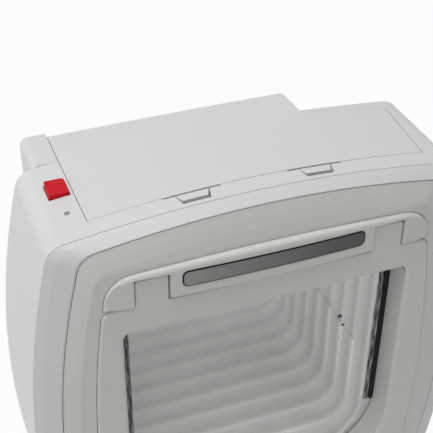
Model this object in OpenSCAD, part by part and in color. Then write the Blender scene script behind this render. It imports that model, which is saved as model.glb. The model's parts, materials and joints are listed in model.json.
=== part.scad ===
// Door-mounted pet door unit that opens for a chipped pet
// X is to the right, Y goes from the room into the door, Z is up
// The origin is the centre of the four door bolts, on the door's inner face

/* [Housing] */
// Width of the housing at its widest
body_w = 225; // [215:1:245]
// Height of the housing at its middle
body_h = 252; // [244:1:275]
// Depth from the door's face to the first seam
body_d = 87; // [80:1:105]
// How far the box behind the housing stands back from its rear edge
box_d = 25.5; // [20:0.5:32]
// How much the sides bow outwards
side_bow = 18; // [6:1:24]
// How much the top and the bottom bow outwards
top_bow = 11.4; // [5:0.2:16]
// Radius of the housing's long corners
corner_r = 10; // [6:0.5:14]
// How much the top falls from the first seam to the rear edge
top_fall = 3.4; // [1:0.2:5]
// Thickness of the housing's walls
wall = 2.4; // [1.8:0.1:3.2]
// Gap between casing pieces at a seam
seam_gap = 0.35; // [0.3:0.05:0.6]

/* [Front] */
// Depth of the rim ring in front of the first seam
rim_d = 6.6; // [5:0.2:9]
// How far the second seam lies inside the outline
rim_w = 11.8; // [9:0.2:15]
// How far the second seam lies below the top
rim_h = 3.2; // [2.5:0.1:5]
// Depth of the front panel's crown
crown_d = 5.4; // [4.6:0.1:5.8]
// Depth of the seat for the surround below the second seam
seat_d = 2.4; // [1.8:0.1:2.6]
// Thickness of the front panel
panel_t = 2.4; // [1.8:0.1:3]

/* [Opening] */
// Width of the housing's front on each side of the opening
opening_side = 42.5; // [41:0.5:48]
// Distance from the housing's top to the opening's top edge
opening_head = 54; // [53:0.5:58]
// Distance from the housing's bottom to the opening's lower edge
opening_foot = 62; // [60:0.5:66]
// Radius of the opening's lower corners
opening_r = 38; // [30:1:44]
// Width of the surround on each side of the opening
frame_side_w = 15; // [14:0.5:16]
// How far the surround's front stands before the second seam
frame_proud = 5.9; // [5:0.1:7]
// Thickness of the surround
frame_t = 2.8; // [2.2:0.1:3.4]
// Height of the surround's upper bar over the opening
joint_up = 14.6; // [14:0.1:15.2]
// Distance from the housing's top to the bridge's upper edge
bridge_fall = 19.6; // [19:0.1:21]
// How far the middle of the bridge stands before the surround
bridge_proud = 2.8; // [1.6:0.2:3.4]
// Distance from the surround's outer edge to its upright tabs
tab_side = 21; // [20:0.5:23]
// Width of the upright tabs
tab_w = 15; // [12:0.5:17]
// Height of the upright tabs over the surround's upper bar
tab_h = 13.8; // [12:0.1:14.2]
// Distance between a tab and the bare label plate
label_side = 5.8; // [4:0.2:10]
// Height of the bare label plate
label_h = 8.1; // [6:0.1:9]
// Distance from the bridge's upper edge to the label plate's middle
label_fall = 8.3; // [8:0.1:9]
// Thickness of the label plate
label_t = 0.8; // [0.5:0.1:1.2]

/* [Flap] */
// Distance from each side of the opening to the clear flap
flap_side = 6.6; // [6.2:0.1:8]
// Thickness of the clear flap
flap_t = 2; // [1.6:0.1:2.4]
// Height of the hinge over the opening's top edge
hinge_up = 3; // [2.5:0.1:3.5]
// Distance from the first seam back to the hinge
hinge_back = 3.6; // [3:0.1:5]
// Radius of the steel hinge rod
hinge_rod_r = 1.9; // [1.5:0.1:2.2]
// Radius of the flap's hinge barrel
barrel_r = 3.9; // [3.4:0.1:4]
// Radial clearance of a turning fit
run_gap = 0.08; // [0.03:0.01:0.1]
// Gap between the flap's lower edge and the sill
flap_gap = 2; // [1.5:0.1:3]
// Width of the black side seals
seal_w = 2.7; // [2:0.1:3]
// Height of the side seals' lower end over the opening's lower edge
seal_up = 33; // [26:1:42]
// Length of the flap's magnet
magnet_w = 20; // [12:1:26]

/* [Tunnel] */
// How far the tunnel stands out behind the door's face
tunnel_out = 59.5; // [40:0.5:80]
// Thickness of the tunnel's walls
tunnel_t = 2.4; // [1.8:0.1:3]
// Clearance between the flap's sides and the tunnel
tunnel_gap = 1.6; // [1:0.1:2]
// Height of the tunnel's inner roof over the hinge
roof_up = 1.5; // [1:0.1:2]
// Radius of the tunnel's lower corners inside
floor_r = 14; // [10:1:20]
// Distance between the steps of the ribbed floor
rib_pitch = 14; // [10:0.5:16]
// Height of the steps of the ribbed floor
rib_h = 1; // [0.5:0.1:1.2]

/* [Lid] */
// Distance from the housing's left side to the battery lid
lid_inset = 35.5; // [34:0.5:37]
// Distance from the housing's right side to the battery lid's front corner
lid_out = 29.1; // [26:0.1:34]
// Distance from the first seam to the lid's front edge
lid_front = 10.8; // [9:0.2:14]
// Thickness of the lid
lid_t = 2.2; // [1.8:0.1:2.6]
// Room between the battery tray and the right wall of its box
box_room = 0.6; // [0.4:0.1:4]
// Distance from the housing's left side to the box behind it
box_inset = 22.5; // [20:0.5:24]
// How far the flat top at the door's face lies below the housing's top
box_fall = 7.2; // [6.4:0.2:8.6]
// Half the distance between the two latches
latch_x = 29; // [24:0.5:34]
// How far both latches stand to the left of the middle
latch_shift = 1.4; // [0:0.1:3]
// Width of a latch pad
latch_w = 15; // [11:0.5:18]
// Depth of a latch pad
latch_d = 4.6; // [3.6:0.1:5]
// Width of the slot behind a latch pad
slot_w = 26.5; // [20:0.5:30]
// Depth of the slot behind a latch pad
slot_d = 1.2; // [0.9:0.1:1.6]
// Radius of the lid's hinge pin
lid_pin_r = 1.4; // [1:0.1:1.6]

/* [Button] */
// Distance from the lid's left edge to the button's middle
button_side = 6.5; // [6:0.1:7]
// Distance from the first seam to the button's middle
button_back = 39; // [34:0.5:46]
// Width of the red button
button_w = 9.2; // [7:0.2:9.4]
// Length of the red button
button_l = 11.6; // [9:0.2:14]
// How far the button stands above the top
button_proud = 2.2; // [1.6:0.1:3]
// How far the button moves when pressed
button_travel = 1.2; // [0.8:0.1:1.4]
// Distance from the first seam to the lamp
lamp_back = 20.2; // [18:0.2:24]
// Radius of the lamp's lens
lamp_r = 1.2; // [1:0.1:1.6]

/* [Door] */
// Distance from the housing's sides to the door bolts
bolt_side = 32.5; // [31:0.5:34]
// Distance from the housing's top and bottom to the door bolts
bolt_foot = 66; // [64:0.5:70]
// Radius of the door bolts' holes
bolt_r = 2.6; // [2:0.1:3]
// Thickness of the collar's back wall
back_t = 3; // [2.4:0.1:4]
// Depth of the foam seal's groove
foam_d = 1.5; // [1:0.1:2]

/* [Power] */
// Radius of one battery cell
cell_r = 7.1; // [6.9:0.05:7.25]
// Length of one battery cell
cell_l = 50; // [49:0.1:50.5]
// Distance between the two rows of cells
cell_pitch = 18; // [17:0.5:20]
// Thickness of the battery tray
tray_t = 1.6; // [1.2:0.1:2]

/* [Reader] */
// Depth of the reader coil's former
coil_d = 14; // [10:1:18]
// Thickness of the copper winding
coil_t = 2.4; // [1.5:0.1:3]
// Thickness of the circuit boards
board_t = 1.6; // [1:0.1:2]

/* [Locks] */
// Pitch radius of the motor's pinion
pinion_r = 4.8; // [4.4:0.1:5.2]
// Number of teeth on the pinion
pinion_teeth = 12; // [10:1:14]
// Distance of the lock bolt to the left of the middle
lock_x = 30; // [29:1:31]
// Distance from the opening's lower edge down to the dial's middle
dial_down = 16; // [15.5:0.1:16.5]
// Radius of the four-way dial
dial_r = 10.4; // [9:0.1:11]
// Radius of the dial's stop cams
cam_r = 24.4; // [24:0.1:24.8]

/* [Hidden] */

$fn = 48;
eps = 0.02;
soft_fit = 0.3;
round_n = 6;

// Planes along Y
seam_y = -body_d;
step_y = -box_d;
seam2_y = seam_y - rim_d;
frame_y = seam2_y - frame_proud;
frame_back_y = frame_y + frame_t;
bridge_y = frame_y - bridge_proud;
panel_y = seam2_y - crown_d;
seat_y = seam2_y - seat_d;
hinge_y = seam_y + hinge_back;
lid_y = seam_y + lid_front;
button_y = seam_y + button_back;
lamp_y = seam_y + lamp_back;

// Half sizes of the outlines
half_w = body_w / 2;
half_h = body_h / 2;
rear_bow = top_bow - top_fall;
seam2_w = half_w - rim_w;
seam2_h = half_h - rim_h;
open_hw = half_w - opening_side;
opening_top = half_h - opening_head;
open_low = opening_foot - half_h;
frame_hw = open_hw + frame_side_w;
joint_z = opening_top + joint_up;
bridge_top = half_h - bridge_fall;
tab_in = frame_hw - tab_side - tab_w;
tab_top = joint_z + tab_h;
label_w = 2 * (tab_in - label_side);
label_z = bridge_top - label_fall;
box_top = half_h - box_fall;

// Flap and tunnel
sill_up = 2;
sill_slack = 6;
roof_cut = 8;
hinge_z = opening_top + hinge_up;
flap_hw = open_hw - flap_side;
sill_z = open_low + sill_up;
flap_low = sill_z + flap_gap;
tunnel_hw = flap_hw + tunnel_gap;
tunnel_ow = tunnel_hw + tunnel_t;
roof_z = hinge_z + roof_up;
tunnel_roof = roof_z + tunnel_t;
roof_y = hinge_y + roof_cut;
sill_r = opening_r - sill_slack;
seal_low = open_low + seal_up;

// Lid, box and battery tray across
tray_gap = 6;
tray_end = 3.2;
cell_gap = 2.4;
lid_left = lid_inset - half_w;
lid_right = half_w - lid_out;
tray_x0 = lid_left + tray_gap;
tray_x1 = tray_x0 + 2 * (tray_t + tray_end + cell_l) + cell_gap;
box_right = tray_x1 + box_room + wall;
box_left = box_inset - half_w;
button_x = -lid_left + button_side;

// Points of an arc
function arc_pts(c, r, a0, a1, n = round_n) =
    [for (i = [0:n]) c + r * [cos(a0 + (a1 - a0) * i / n), sin(a0 + (a1 - a0) * i / n)]];

// Rectangle with one radius below and one above
function round_rect(lo, hi, rb, rt, n = round_n) = concat(
    arc_pts([lo.x + rb, lo.y + rb], rb, 180, 270, n),
    arc_pts([hi.x - rb, lo.y + rb], rb, 270, 360, n),
    arc_pts([hi.x - rt, hi.y - rt], rt, 0, 90, n),
    arc_pts([lo.x + rt, hi.y - rt], rt, 90, 180, n));

// Where the bowed side and the bowed top of an outline meet, found by repetition
function corner_x(w, h, sx, sz, r, x, n) =
    n == 0 ? x : corner_x(w, h, sx, sz, r, w - r - sx * pow((h - r - sz * pow(x / w, 2)) / h, 2), n - 1);

// Upper right quarter of an outline with bowed sides and round corners
function bowed_quarter(w, h, sx, sz, r, ns, nc) = let (
    xc = corner_x(w, h, sx, sz, r, w - r, 8),
    zc = h - r - sz * pow(xc / w, 2),
    a0 = atan(2 * sx * zc / (h * h)),
    a1 = 90 - atan(2 * sz * xc / (w * w)))
    concat(
        [for (i = [0:ns]) let (z = zc * i / ns, d = 2 * sx * z / (h * h), m = sqrt(1 + d * d))
            [w - r - sx * pow(z / h, 2) + r / m, z + r * d / m]],
        [for (i = [1:nc - 1]) [xc, zc] + r * [cos(a0 + (a1 - a0) * i / nc), sin(a0 + (a1 - a0) * i / nc)]],
        [for (i = [0:ns]) let (x = xc * (1 - i / ns), d = 2 * sz * x / (w * w), m = sqrt(1 + d * d))
            [x + r * d / m, h - r - sz * pow(x / w, 2) + r / m]]);

// Whole outline from its upper right quarter
function whole(q) = let (n = len(q)) concat(
    q,
    [for (i = [n - 2:-1:0]) [-q[i].x, q[i].y]],
    [for (i = [1:n - 1]) [-q[i].x, -q[i].y]],
    [for (i = [n - 2:-1:1]) [q[i].x, -q[i].y]]);
function bowed(w, h, sx, sz, r, ns = 8, nc = 5) = whole(bowed_quarter(w, h, sx, sz, r, ns, nc));

// Height of the housing's top over a point, arched in front and flat at the door
function arch_z(x, top, bow) = top - bow * pow(x / half_w, 2);
function rear_z(x, y) = let (t = (y - step_y) / box_d)
    (1 - t) * arch_z(x, half_h - top_fall, rear_bow) + t * box_top;
function front_z(x, y) = let (t = (y - seam_y) / (step_y - seam_y))
    (1 - t) * arch_z(x, half_h, top_bow) + t * arch_z(x, half_h - top_fall, rear_bow);
function roof_round(y) = let (c = -lid_fillet)
    y <= c ? 0 : lid_fillet - sqrt(max(0, lid_fillet * lid_fillet - (y - c) * (y - c)));
function top_z(x, y) = (y <= step_y ? front_z(x, y) : rear_z(x, y)) - roof_round(y);

// Lid hinge, with its axis at the centre of the lid's rear fillet
lid_fillet = 4;
lid_axis_y = -lid_fillet - 0.2;
lid_axis_z = box_top - lid_fillet;
knuckle_w = 12;
knuckle_x = [lid_left + 17, box_right - 16];
ear_t = 3;

// Solid of rings joined along Y, from the front to the back
module loft(ys, rings) {
    n = len(rings[0]);
    m = len(rings);
    polyhedron(
        points = [for (k = [0:m - 1]) for (p = rings[k]) [p.x, ys[k], p.y]],
        faces = concat(
            [[for (i = [n - 1:-1:0]) i]],
            [[for (i = [0:n - 1]) (m - 1) * n + i]],
            [for (k = [0:m - 2]) for (i = [0:n - 1])
                let (a = k * n + i, b = k * n + (i + 1) % n) [a, b, b + n]],
            [for (k = [0:m - 2]) for (i = [0:n - 1])
                let (a = k * n + i, b = k * n + (i + 1) % n) [a, b + n, a + n]]));
}

// Outline in X and Z, pulled along Y
module slab(y0, y1) {
    rotate([90, 0, 0]) translate([0, 0, -y1]) linear_extrude(y1 - y0) children();
}
module block(lo, hi) {
    translate(lo) cube(hi - lo);
}
module rod_x(x0, x1, y, z, r) {
    translate([x0, y, z]) rotate([0, 90, 0]) cylinder(h = x1 - x0, r = r);
}
module rod_y(y0, y1, x, z, r) {
    translate([x, y1, z]) rotate([90, 0, 0]) cylinder(h = y1 - y0, r = r);
}
module rod_z(z0, z1, x, y, r) {
    translate([x, y, z0]) cylinder(h = z1 - z0, r = r);
}
module both_sides() {
    children();
    mirror([1, 0, 0]) children();
}

// Posts in the housing for the screws of the rear cover
post_in = 6.1;
post_rib = post_in + wall / 2;
rib_t = 2;
post_up = [half_h - 60, 46 - half_h];
post_at = [for (z = post_up) [half_w - side_bow * pow(z / half_h, 2) - wall - post_in, z]];
post_r = 4.2;
post_l = 25;
screw_r = 1.5;
screw_head_r = 3;
screw_head_h = 2;
screw_l = 22;
thread_gap = 0.04;
module at_posts() {
    for (s = [-1, 1]) for (p = post_at) translate([s * p.x, 0, p.y]) children();
}

// Outline of the lid from above, grown by a gap
lid_slant = 4;
lid_slope = 7;
lid_tail = 1.6;
column_h = 70;
function lid_plan(g) = [
    [lid_left - g, lid_y - g],
    [lid_right + g, lid_y - g],
    [lid_right + lid_slant + g, step_y - lid_slope + g],
    [box_right + g, step_y - lid_tail + g], [box_right + g, g], [lid_left - g, g]];
module column(z0) {
    translate([0, 0, z0]) linear_extrude(column_h) children();
}
// Skin that follows the housing's top over the lid's outline, between two offsets
lid_cuts = 12;
end_step = 18;
lid_corner = step_y - lid_slope;
lid_end = step_y - lid_tail;
function lid_edge(y) =
    y < lid_corner ? lid_right + lid_slant * (y - lid_y) / (lid_corner - lid_y) :
    y < lid_end ? lid_right + lid_slant
        + (box_right - lid_right - lid_slant) * (y - lid_corner) / (lid_end - lid_corner) :
    box_right;
lid_rows = concat(
    [for (t = [0, 0.3, 0.6]) lid_y + t * (lid_corner - lid_y)],
    [lid_corner, (lid_corner + lid_end) / 2, lid_end],
    [for (t = [0.3, 0.6]) step_y + t * box_d]);
function skin_row(y, at_y, d, g, dy) = [for (i = [0:lid_cuts])
    let (x0 = lid_left - g, x1 = lid_edge(y) + g, x = x0 + (x1 - x0) * i / lid_cuts)
    [x, at_y + dy, top_z(x, y) + d]];
function skin_end(a, d, g) = [for (i = [0:lid_cuts])
    let (x0 = lid_left - g, x1 = box_right + g, x = x0 + (x1 - x0) * i / lid_cuts)
    [x, lid_axis_y + (lid_fillet + d) * sin(a),
     rear_z(x, lid_axis_y) - lid_fillet + (lid_fillet + d) * cos(a)]];
function skin_pts(d, g, f) = concat(
    skin_row(lid_rows[0], lid_rows[0], d, g, -f),
    [for (k = [1:len(lid_rows) - 1]) for (p = skin_row(lid_rows[k], lid_rows[k], d, g, 0)) p],
    [for (a = [0:end_step:90]) for (p = skin_end(a, d, g)) p]);
module skin(d1, d0, g) {
    n = lid_cuts + 1;
    m = len(lid_rows) + 1 + 90 / end_step;
    o = n * m;
    polyhedron(
        points = concat(skin_pts(d1, g, g), skin_pts(d0, g, g)),
        faces = concat(
            [for (k = [0:m - 2]) for (i = [0:n - 2]) let (a = k * n + i) [a, a + n, a + 1]],
            [for (k = [0:m - 2]) for (i = [0:n - 2]) let (a = k * n + i) [a + 1, a + n, a + n + 1]],
            [for (k = [0:m - 2]) for (i = [0:n - 2]) let (a = o + k * n + i) [a, a + 1, a + n]],
            [for (k = [0:m - 2]) for (i = [0:n - 2]) let (a = o + k * n + i) [a + 1, a + n + 1, a + n]],
            [for (k = [0:m - 2]) let (a = k * n) [a, o + a, a + n]],
            [for (k = [0:m - 2]) let (a = k * n) [o + a, o + a + n, a + n]],
            [for (k = [0:m - 2]) let (a = k * n + n - 1) [a, a + n, o + a]],
            [for (k = [0:m - 2]) let (a = k * n + n - 1) [o + a, a + n, o + a + n]],
            [for (i = [0:n - 2]) [i, i + 1, o + i]],
            [for (i = [0:n - 2]) [i + 1, o + i + 1, o + i]],
            [for (i = [0:n - 2]) let (a = (m - 1) * n + i) [a, o + a, a + 1]],
            [for (i = [0:n - 2]) let (a = (m - 1) * n + i) [a + 1, o + a, o + a + 1]]));
}
module front_solid() {
    loft([seam_y, step_y],
         [bowed(half_w, half_h, side_bow, top_bow, corner_r),
          bowed(half_w, half_h - top_fall, side_bow, rear_bow, corner_r)]);
}
// Room for the lid
module lid_space() skin(14, -lid_t - seam_gap, seam_gap);

// Latches at the lid's front edge
latch_y = lid_y - slot_d;
latch_travel = 1;
latch_lap = 0.7;
pad_slope = 1.6;
lip_t = 1.6;
lip_w = 16;
lip_root = 0.6;
window_w = 9;
leg_w = 8;
leg_t = 2;
leg_gap = 0.4;
nose_t = 1.5;
lip_low = box_top - 8.3;
window_low = lip_low + 1.9;
window_h = 2.5;
flange_w = 19;
flange_t = 1.2;
flange_front = lid_y - 6.2;
scoop = 0.9;
function pad_plan(g, extra = 0) = [
    [-latch_w / 2 - g, latch_y + g], [-latch_w / 2 + pad_slope - g, latch_y - latch_d - g - extra],
    [latch_w / 2 - pad_slope + g, latch_y - latch_d - g - extra], [latch_w / 2 + g, latch_y + g]];
module at_latch(s) {
    translate([s * latch_x - latch_shift, 0, 0]) children();
}
module latch_notch() {
    column(half_h / 2) polygon(pad_plan(soft_fit + 0.15, latch_travel + scoop));
    block([-slot_w / 2, lid_y - slot_d, half_h / 2], [slot_w / 2, lid_y + lip_t + 0.6, half_h]);
}

// Housing shell, open in front, behind and under the lid
button_gap = 0.35;
shelf_z = box_top - 17.8;
shelf_t = 1.6;
ledge_t = 1.6;
ledge_w = 2;
ledge_neck = 1;
shelf_x = lid_left + 1;
board_y = seam_y + 15;
board_back = 11;
board_l = step_y - board_back - board_y;
shelf_out = 13;
module housing() color("whitesmoke") {
    difference() {
        union() {
            difference() {
                front_solid();
                loft([seam_y - 1, step_y + 1],
                     [bowed(half_w - wall, half_h - wall, side_bow, top_bow, corner_r - wall),
                      bowed(half_w - wall, half_h - top_fall - wall, side_bow, rear_bow, corner_r - wall)]);
            }
            // Ledge that carries the lid
            difference() {
                skin(-wall / 2, -lid_t - seam_gap - ledge_t, seam_gap + ledge_neck);
                column(half_h / 2) polygon(lid_plan(-ledge_w));
                block([-half_w, cover_y - soft_fit, 0], [half_w, 1, half_h]);
                block([-button_x, button_y - button_l, 0],
                      [lid_left - seam_gap, button_y + button_l, front_z(button_x, button_y) - wall]);
            }
            // Shelf for the switch board
            block([-half_w + shelf_out, board_y, shelf_z], [shelf_x, board_y + board_l, shelf_z + shelf_t]);
            for (s = [-1, 1]) for (p = post_at) translate([s * p.x, 0, p.y]) {
                rod_y(cover_y - post_d - post_l, cover_y - post_d - soft_fit, 0, 0, post_r);
                block([min(0, s * post_rib), cover_y - post_d - post_l, -rib_t / 2],
                      [max(0, s * post_rib), cover_y - post_d - soft_fit, rib_t / 2]);
            }
        }
        lid_space();
        at_latch(-1) latch_notch();
        at_latch(1) latch_notch();
        block([-button_x - button_w / 2 - button_gap, button_y - button_l / 2 - button_gap, half_h / 2],
              [-button_x + button_w / 2 + button_gap, button_y + button_l / 2 + button_gap, half_h]);
        rod_z(half_h / 2, half_h, -button_x, lamp_y, lamp_r + run_gap);
        at_posts() rod_y(cover_y - post_d - screw_l, step_y, 0, 0, screw_r + thread_gap);
    }
}

// Rear cover with its door collar and the walls of the battery box
cover_y = step_y - back_t;
post_d = 6;
bolt_hx = half_w - bolt_side;
bolt_hz = half_h - bolt_foot;
collar_side = 8;
collar_foot = 12;
collar_head = 11.5;
collar_w = bolt_hx + collar_side;
collar_low = sill_z - collar_foot;
collar_high = roof_z + collar_head;
collar_r = 10;
roof_r = 4;
box_low = collar_high - wall;
boss_r = 5;
foam_w = 5;
foam_in = 1.6;
lid_clear = lid_fillet + seam_gap + 0.7;
box_r = 4;
box_foot_r = 0.4;
module box_ring(inset) {
    polygon(round_rect([box_left + inset, box_low + inset], [box_right - inset, box_top - inset],
                       box_foot_r, box_r - inset));
}
module collar_ring(inset) {
    polygon(round_rect([-collar_w + inset, collar_low + inset], [collar_w - inset, collar_high - inset],
                       collar_r - inset, collar_r - inset));
}
module tunnel_ring(grow) {
    polygon(round_rect([-tunnel_ow - grow, sill_z - tunnel_t - grow],
                       [tunnel_ow + grow, tunnel_roof + grow], floor_r + tunnel_t + grow, roof_r + grow));
}
module at_bolts() {
    for (sx = [-1, 1]) for (sz = [-1, 1]) translate([sx * bolt_hx, 0, sz * bolt_hz]) children();
}
module rear_cover() color("whitesmoke") {
    difference() {
        union() {
            difference() {
                union() {
                    slab(cover_y, step_y + eps)
                        polygon(bowed(half_w - wall - seam_gap, half_h - top_fall - wall - seam_gap,
                                      side_bow, rear_bow, corner_r - wall));
                    slab(step_y, 0) box_ring(0);
                    slab(cover_y, 0) collar_ring(0);
                }
                slab(cover_y - 1, -back_t) box_ring(wall);
                slab(cover_y - 1, -back_t) collar_ring(wall);
            }
            at_bolts() rod_y(cover_y, -eps, 0, 0, boss_r);
            at_posts() rod_y(cover_y - post_d, cover_y + eps, 0, 0, post_r);
        }
        at_bolts() rod_y(cover_y - 1, 1, 0, 0, bolt_r);
        at_posts() {
            rod_y(cover_y - post_d - 1, step_y + 1, 0, 0, screw_r + run_gap);
            rod_y(step_y - screw_head_h, step_y + 1, 0, 0, screw_head_r + soft_fit);
        }
        slab(cover_y - 1, 1) tunnel_ring(seam_gap);
        // Groove for the foam seal
        slab(-foam_d, 1) difference() {
            tunnel_ring(foam_in + foam_w);
            tunnel_ring(foam_in);
        }
        lid_space();
        rod_x(lid_left - seam_gap, box_right + 1, lid_axis_y, lid_axis_z, lid_clear);
    }
    at_ears() lid_ear();
}
// Ear that carries the lid's pin
ear_r = 2.5;
ear_reach = 6.7;
stem_t = 2.3;
module at_ears() {
    for (x = knuckle_x) for (s = [-1, 1])
        translate([x + s * (knuckle_w / 2 + ear_t / 2 + soft_fit), 0, 0]) children();
}
module lid_ear() {
    difference() {
        union() {
            rod_x(-ear_t / 2, ear_t / 2, lid_axis_y, lid_axis_z, ear_r);
            rotate([90, 0, 90]) translate([0, 0, -ear_t / 2]) linear_extrude(ear_t) polygon([
                [lid_axis_y + ear_r * cos(60), lid_axis_z - ear_r * sin(60)],
                [lid_axis_y - ear_r * cos(60), lid_axis_z + ear_r * sin(60) - 1],
                [lid_axis_y - ear_reach, lid_axis_z - ear_reach],
                [lid_axis_y - ear_reach, collar_high - eps],
                [lid_axis_y - ear_reach + stem_t, collar_high - eps],
                [lid_axis_y - ear_reach + stem_t, lid_axis_z - ear_reach + 1]]);
        }
        rod_x(-ear_t, ear_t, lid_axis_y, lid_axis_z, lid_pin_r + thread_gap);
    }
}

// Rim ring between the two seams
rim_lip = 3;
rim_lip_t = 1.8;
rim_lip_w = 1.2;
rim_share = 0.3;
rim_back = 0.42;
rim_land = [0.8, 0.4];
module front_rim() color("whitesmoke") {
    mid_w = half_w - rim_w * rim_share;
    mid_h = half_h - rim_h * rim_share;
    lip_w = half_w - wall - soft_fit;
    lip_h = half_h - wall - soft_fit;
    difference() {
        union() {
            loft([seam2_y, seam_y - rim_d * rim_back, seam_y - seam_gap],
                 [bowed(seam2_w + rim_land.x, seam2_h + rim_land.y, side_bow, top_bow, corner_r),
                  bowed(mid_w, mid_h, side_bow, top_bow, corner_r),
                  bowed(half_w, half_h, side_bow, top_bow, corner_r)]);
            // Lip that centres the ring in the housing
            slab(seam_y - seam_gap - eps, seam_y + rim_lip)
                polygon(bowed(lip_w, lip_h, side_bow, top_bow, corner_r - wall));
        }
        slab(seam2_y - 1, seam_y - wall) polygon(bowed(seam2_w, seam2_h, side_bow, top_bow, corner_r));
        slab(seam_y - wall - eps, seam_y + rim_lip + 1)
            polygon(bowed(seam2_w - rim_lip_w, lip_h - rim_lip_t, side_bow, top_bow, corner_r - wall));
    }
}

// Half outline of the brow, the shape of the bridge above and of the surround below
brow_r = 14;
brow_sag = 2.1;
brow_n = 6;
brow_start = 4;
brow_end = 87;
brow_steps = 4;
side_taper = 6.5;
side_n = 8;
shoulder_r = 5.5;
shoulder_gap = 0.7;
function side_x(z) = frame_hw + 0.1 - side_taper * pow(z / joint_z, 2);
function brow(top) = let (cx = side_x(joint_z + shoulder_r) - brow_r, cz = top - brow_sag - brow_r) concat(
    arc_pts([cx, cz], brow_r, brow_start, brow_end, brow_n),
    [for (i = [1:brow_steps]) [cx * (1 - i / brow_steps), top - brow_sag * pow(1 - i / brow_steps, 2)]]);
function flip_x(pts) = [for (i = [len(pts) - 1:-1:0]) [-pts[i].x, pts[i].y]];
function down(pts) = [for (i = [len(pts) - 1:-1:0]) [pts[i].x, -pts[i].y]];
function frame_side(z0, z1) = [for (i = [0:side_n]) let (z = z0 + (z1 - z0) * i / side_n) [side_x(z), z]];
edge_gap = 0.35;
tab_gap = 0.6;
frame_right = concat(
    down(brow(bridge_top)),
    frame_side(-joint_z, joint_z - shoulder_r - 1),
    arc_pts([side_x(joint_z - shoulder_r) - shoulder_r, joint_z - shoulder_r], shoulder_r, 0, 90));
frame_pts = concat(frame_right, flip_x([for (i = [1:len(frame_right) - 1]) frame_right[i]]));
module frame_outline(g) {
    offset(delta = g) polygon(frame_pts);
}
module tab_outline(g) {
    for (s = [-1, 1]) translate([s * (tab_in + tab_w / 2), 0])
        polygon(round_rect([-tab_w / 2 - g, joint_z - 3], [tab_w / 2 + g, tab_top + g], 0.4, 1.2));
}
// Solid whose front is bowed a little in plan
plan_n = 12;
module bow_solid(front, bow, hw, back) {
    translate([0, 0, -half_h]) linear_extrude(body_h) polygon(concat(
        [for (i = [-plan_n:plan_n]) let (x = hw * i / plan_n) [x, front + bow * pow(x / hw, 2)]],
        [[hw, back], [-hw, back]]));
}
frame_bow = 1.4;
skirt_t = 2;
reveal_t = 2;
reveal_back = seam_y + 2.5;
reveal_top = hinge_z - 7;
open_rt = 4;
module opening(g) {
    polygon(round_rect([-open_hw - g, open_low - g], [open_hw + g, opening_top + g],
                       opening_r + g, open_rt + g));
}

// Surround of the opening with its two upright tabs
module flap_frame() color("whitesmoke") {
    difference() {
        union() {
            intersection() {
                bow_solid(frame_y, frame_bow, half_w, seat_y - edge_gap);
                slab(frame_y - 1, seat_y) union() {
                    frame_outline(0);
                    tab_outline(0);
                }
            }
            // Walls of the way through
            difference() {
                slab(frame_back_y - eps, reveal_back) opening(reveal_t);
                slab(frame_back_y - 1, reveal_back + 1) opening(0);
                block([-half_w, frame_back_y, reveal_top], [half_w, seam_y + 10, half_h]);
            }
            rod_y(frame_back_y - eps, dial_hub_y, 0, dial_z, dial_hub_r);
        }
        slab(frame_y - 1, frame_back_y + 1) opening(0);
        // Space behind the surround's plate
        slab(frame_back_y, seat_y + eps) difference() {
            frame_outline(-skirt_t);
            opening(reveal_t);
            translate([0, dial_z]) circle(r = dial_hub_r);
        }
        rod_y(frame_y - 1, dial_hub_y + 1, 0, dial_z, dial_shaft_r + run_gap);
        rod_y(frame_y - 1, frame_y + dial_sink, 0, dial_z, dial_r + dial_gap);
        block([-cam_slot, front_cam_y - cam_room, open_low - reveal_t - 1],
              [cam_slot, front_cam_y + cam_t + cam_room, open_low + 1]);
        block([-lock_x - lock_w / 2 - lock_room, bolt_y - lock_room, open_low - reveal_t - 1],
              [-lock_x + lock_w / 2 + lock_room, bolt_y + lock_t + lock_room, open_low + 1 + lock_room]);
    }
}

// Front panel between the second seam and the surround, with a seat for both
crown_in = [half_w - 28.5, half_h - 22];
crown_steps = 4;
crown_bow = 1.6;
panel_bow = [side_bow / 2, top_bow / 2];
panel_lap = 0.4;
function crown_y(t) = seam2_y - crown_d * sin(90 * t);
module front_panel() color("whitesmoke") {
    out_w = seam2_w - seam_gap;
    out_h = seam2_h - seam_gap;
    difference() {
        intersection() {
            loft(concat([for (i = [crown_steps:-1:0]) crown_y(i / crown_steps)], [seam_y - wall - panel_lap]),
                 concat([for (i = [crown_steps:-1:0]) let (t = i / crown_steps)
                            bowed(out_w + (crown_in.x - out_w) * t, out_h + (crown_in.y - out_h) * t,
                                  side_bow + (panel_bow.x - side_bow) * t,
                                  top_bow + (panel_bow.y - top_bow) * t, corner_r)],
                        [bowed(out_w, out_h, side_bow, top_bow, corner_r)]));
            bow_solid(panel_y, crown_bow * pow(half_w / crown_in.x, 2), half_w, seam_y);
        }
        loft([seat_y + panel_t, seam2_y + panel_t, seam_y],
             [bowed(crown_in.x - 2, crown_in.y - 2, panel_bow.x, panel_bow.y, corner_r - 2),
              bowed(out_w - panel_t, out_h - panel_t, side_bow, top_bow, corner_r - 2),
              bowed(out_w - panel_t, out_h - panel_t, side_bow, top_bow, corner_r - 2)]);
        slab(panel_y - 1, seat_y) {
            frame_outline(edge_gap);
            tab_outline(tab_gap + edge_gap);
            offset(delta = edge_gap) bridge_outline();
        }
        slab(panel_y - 1, seam_y) opening(reveal_t + edge_gap);
        rod_y(panel_y - 1, seam_y, 0, dial_z, dial_hub_r + edge_gap);
        // Window for the lock
        block([guide_x[0] - guide_room, panel_y - 1, guide_low - guide_room],
              [guide_x[1] + guide_t + guide_room, seam_y, open_low]);
    }
}

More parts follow.
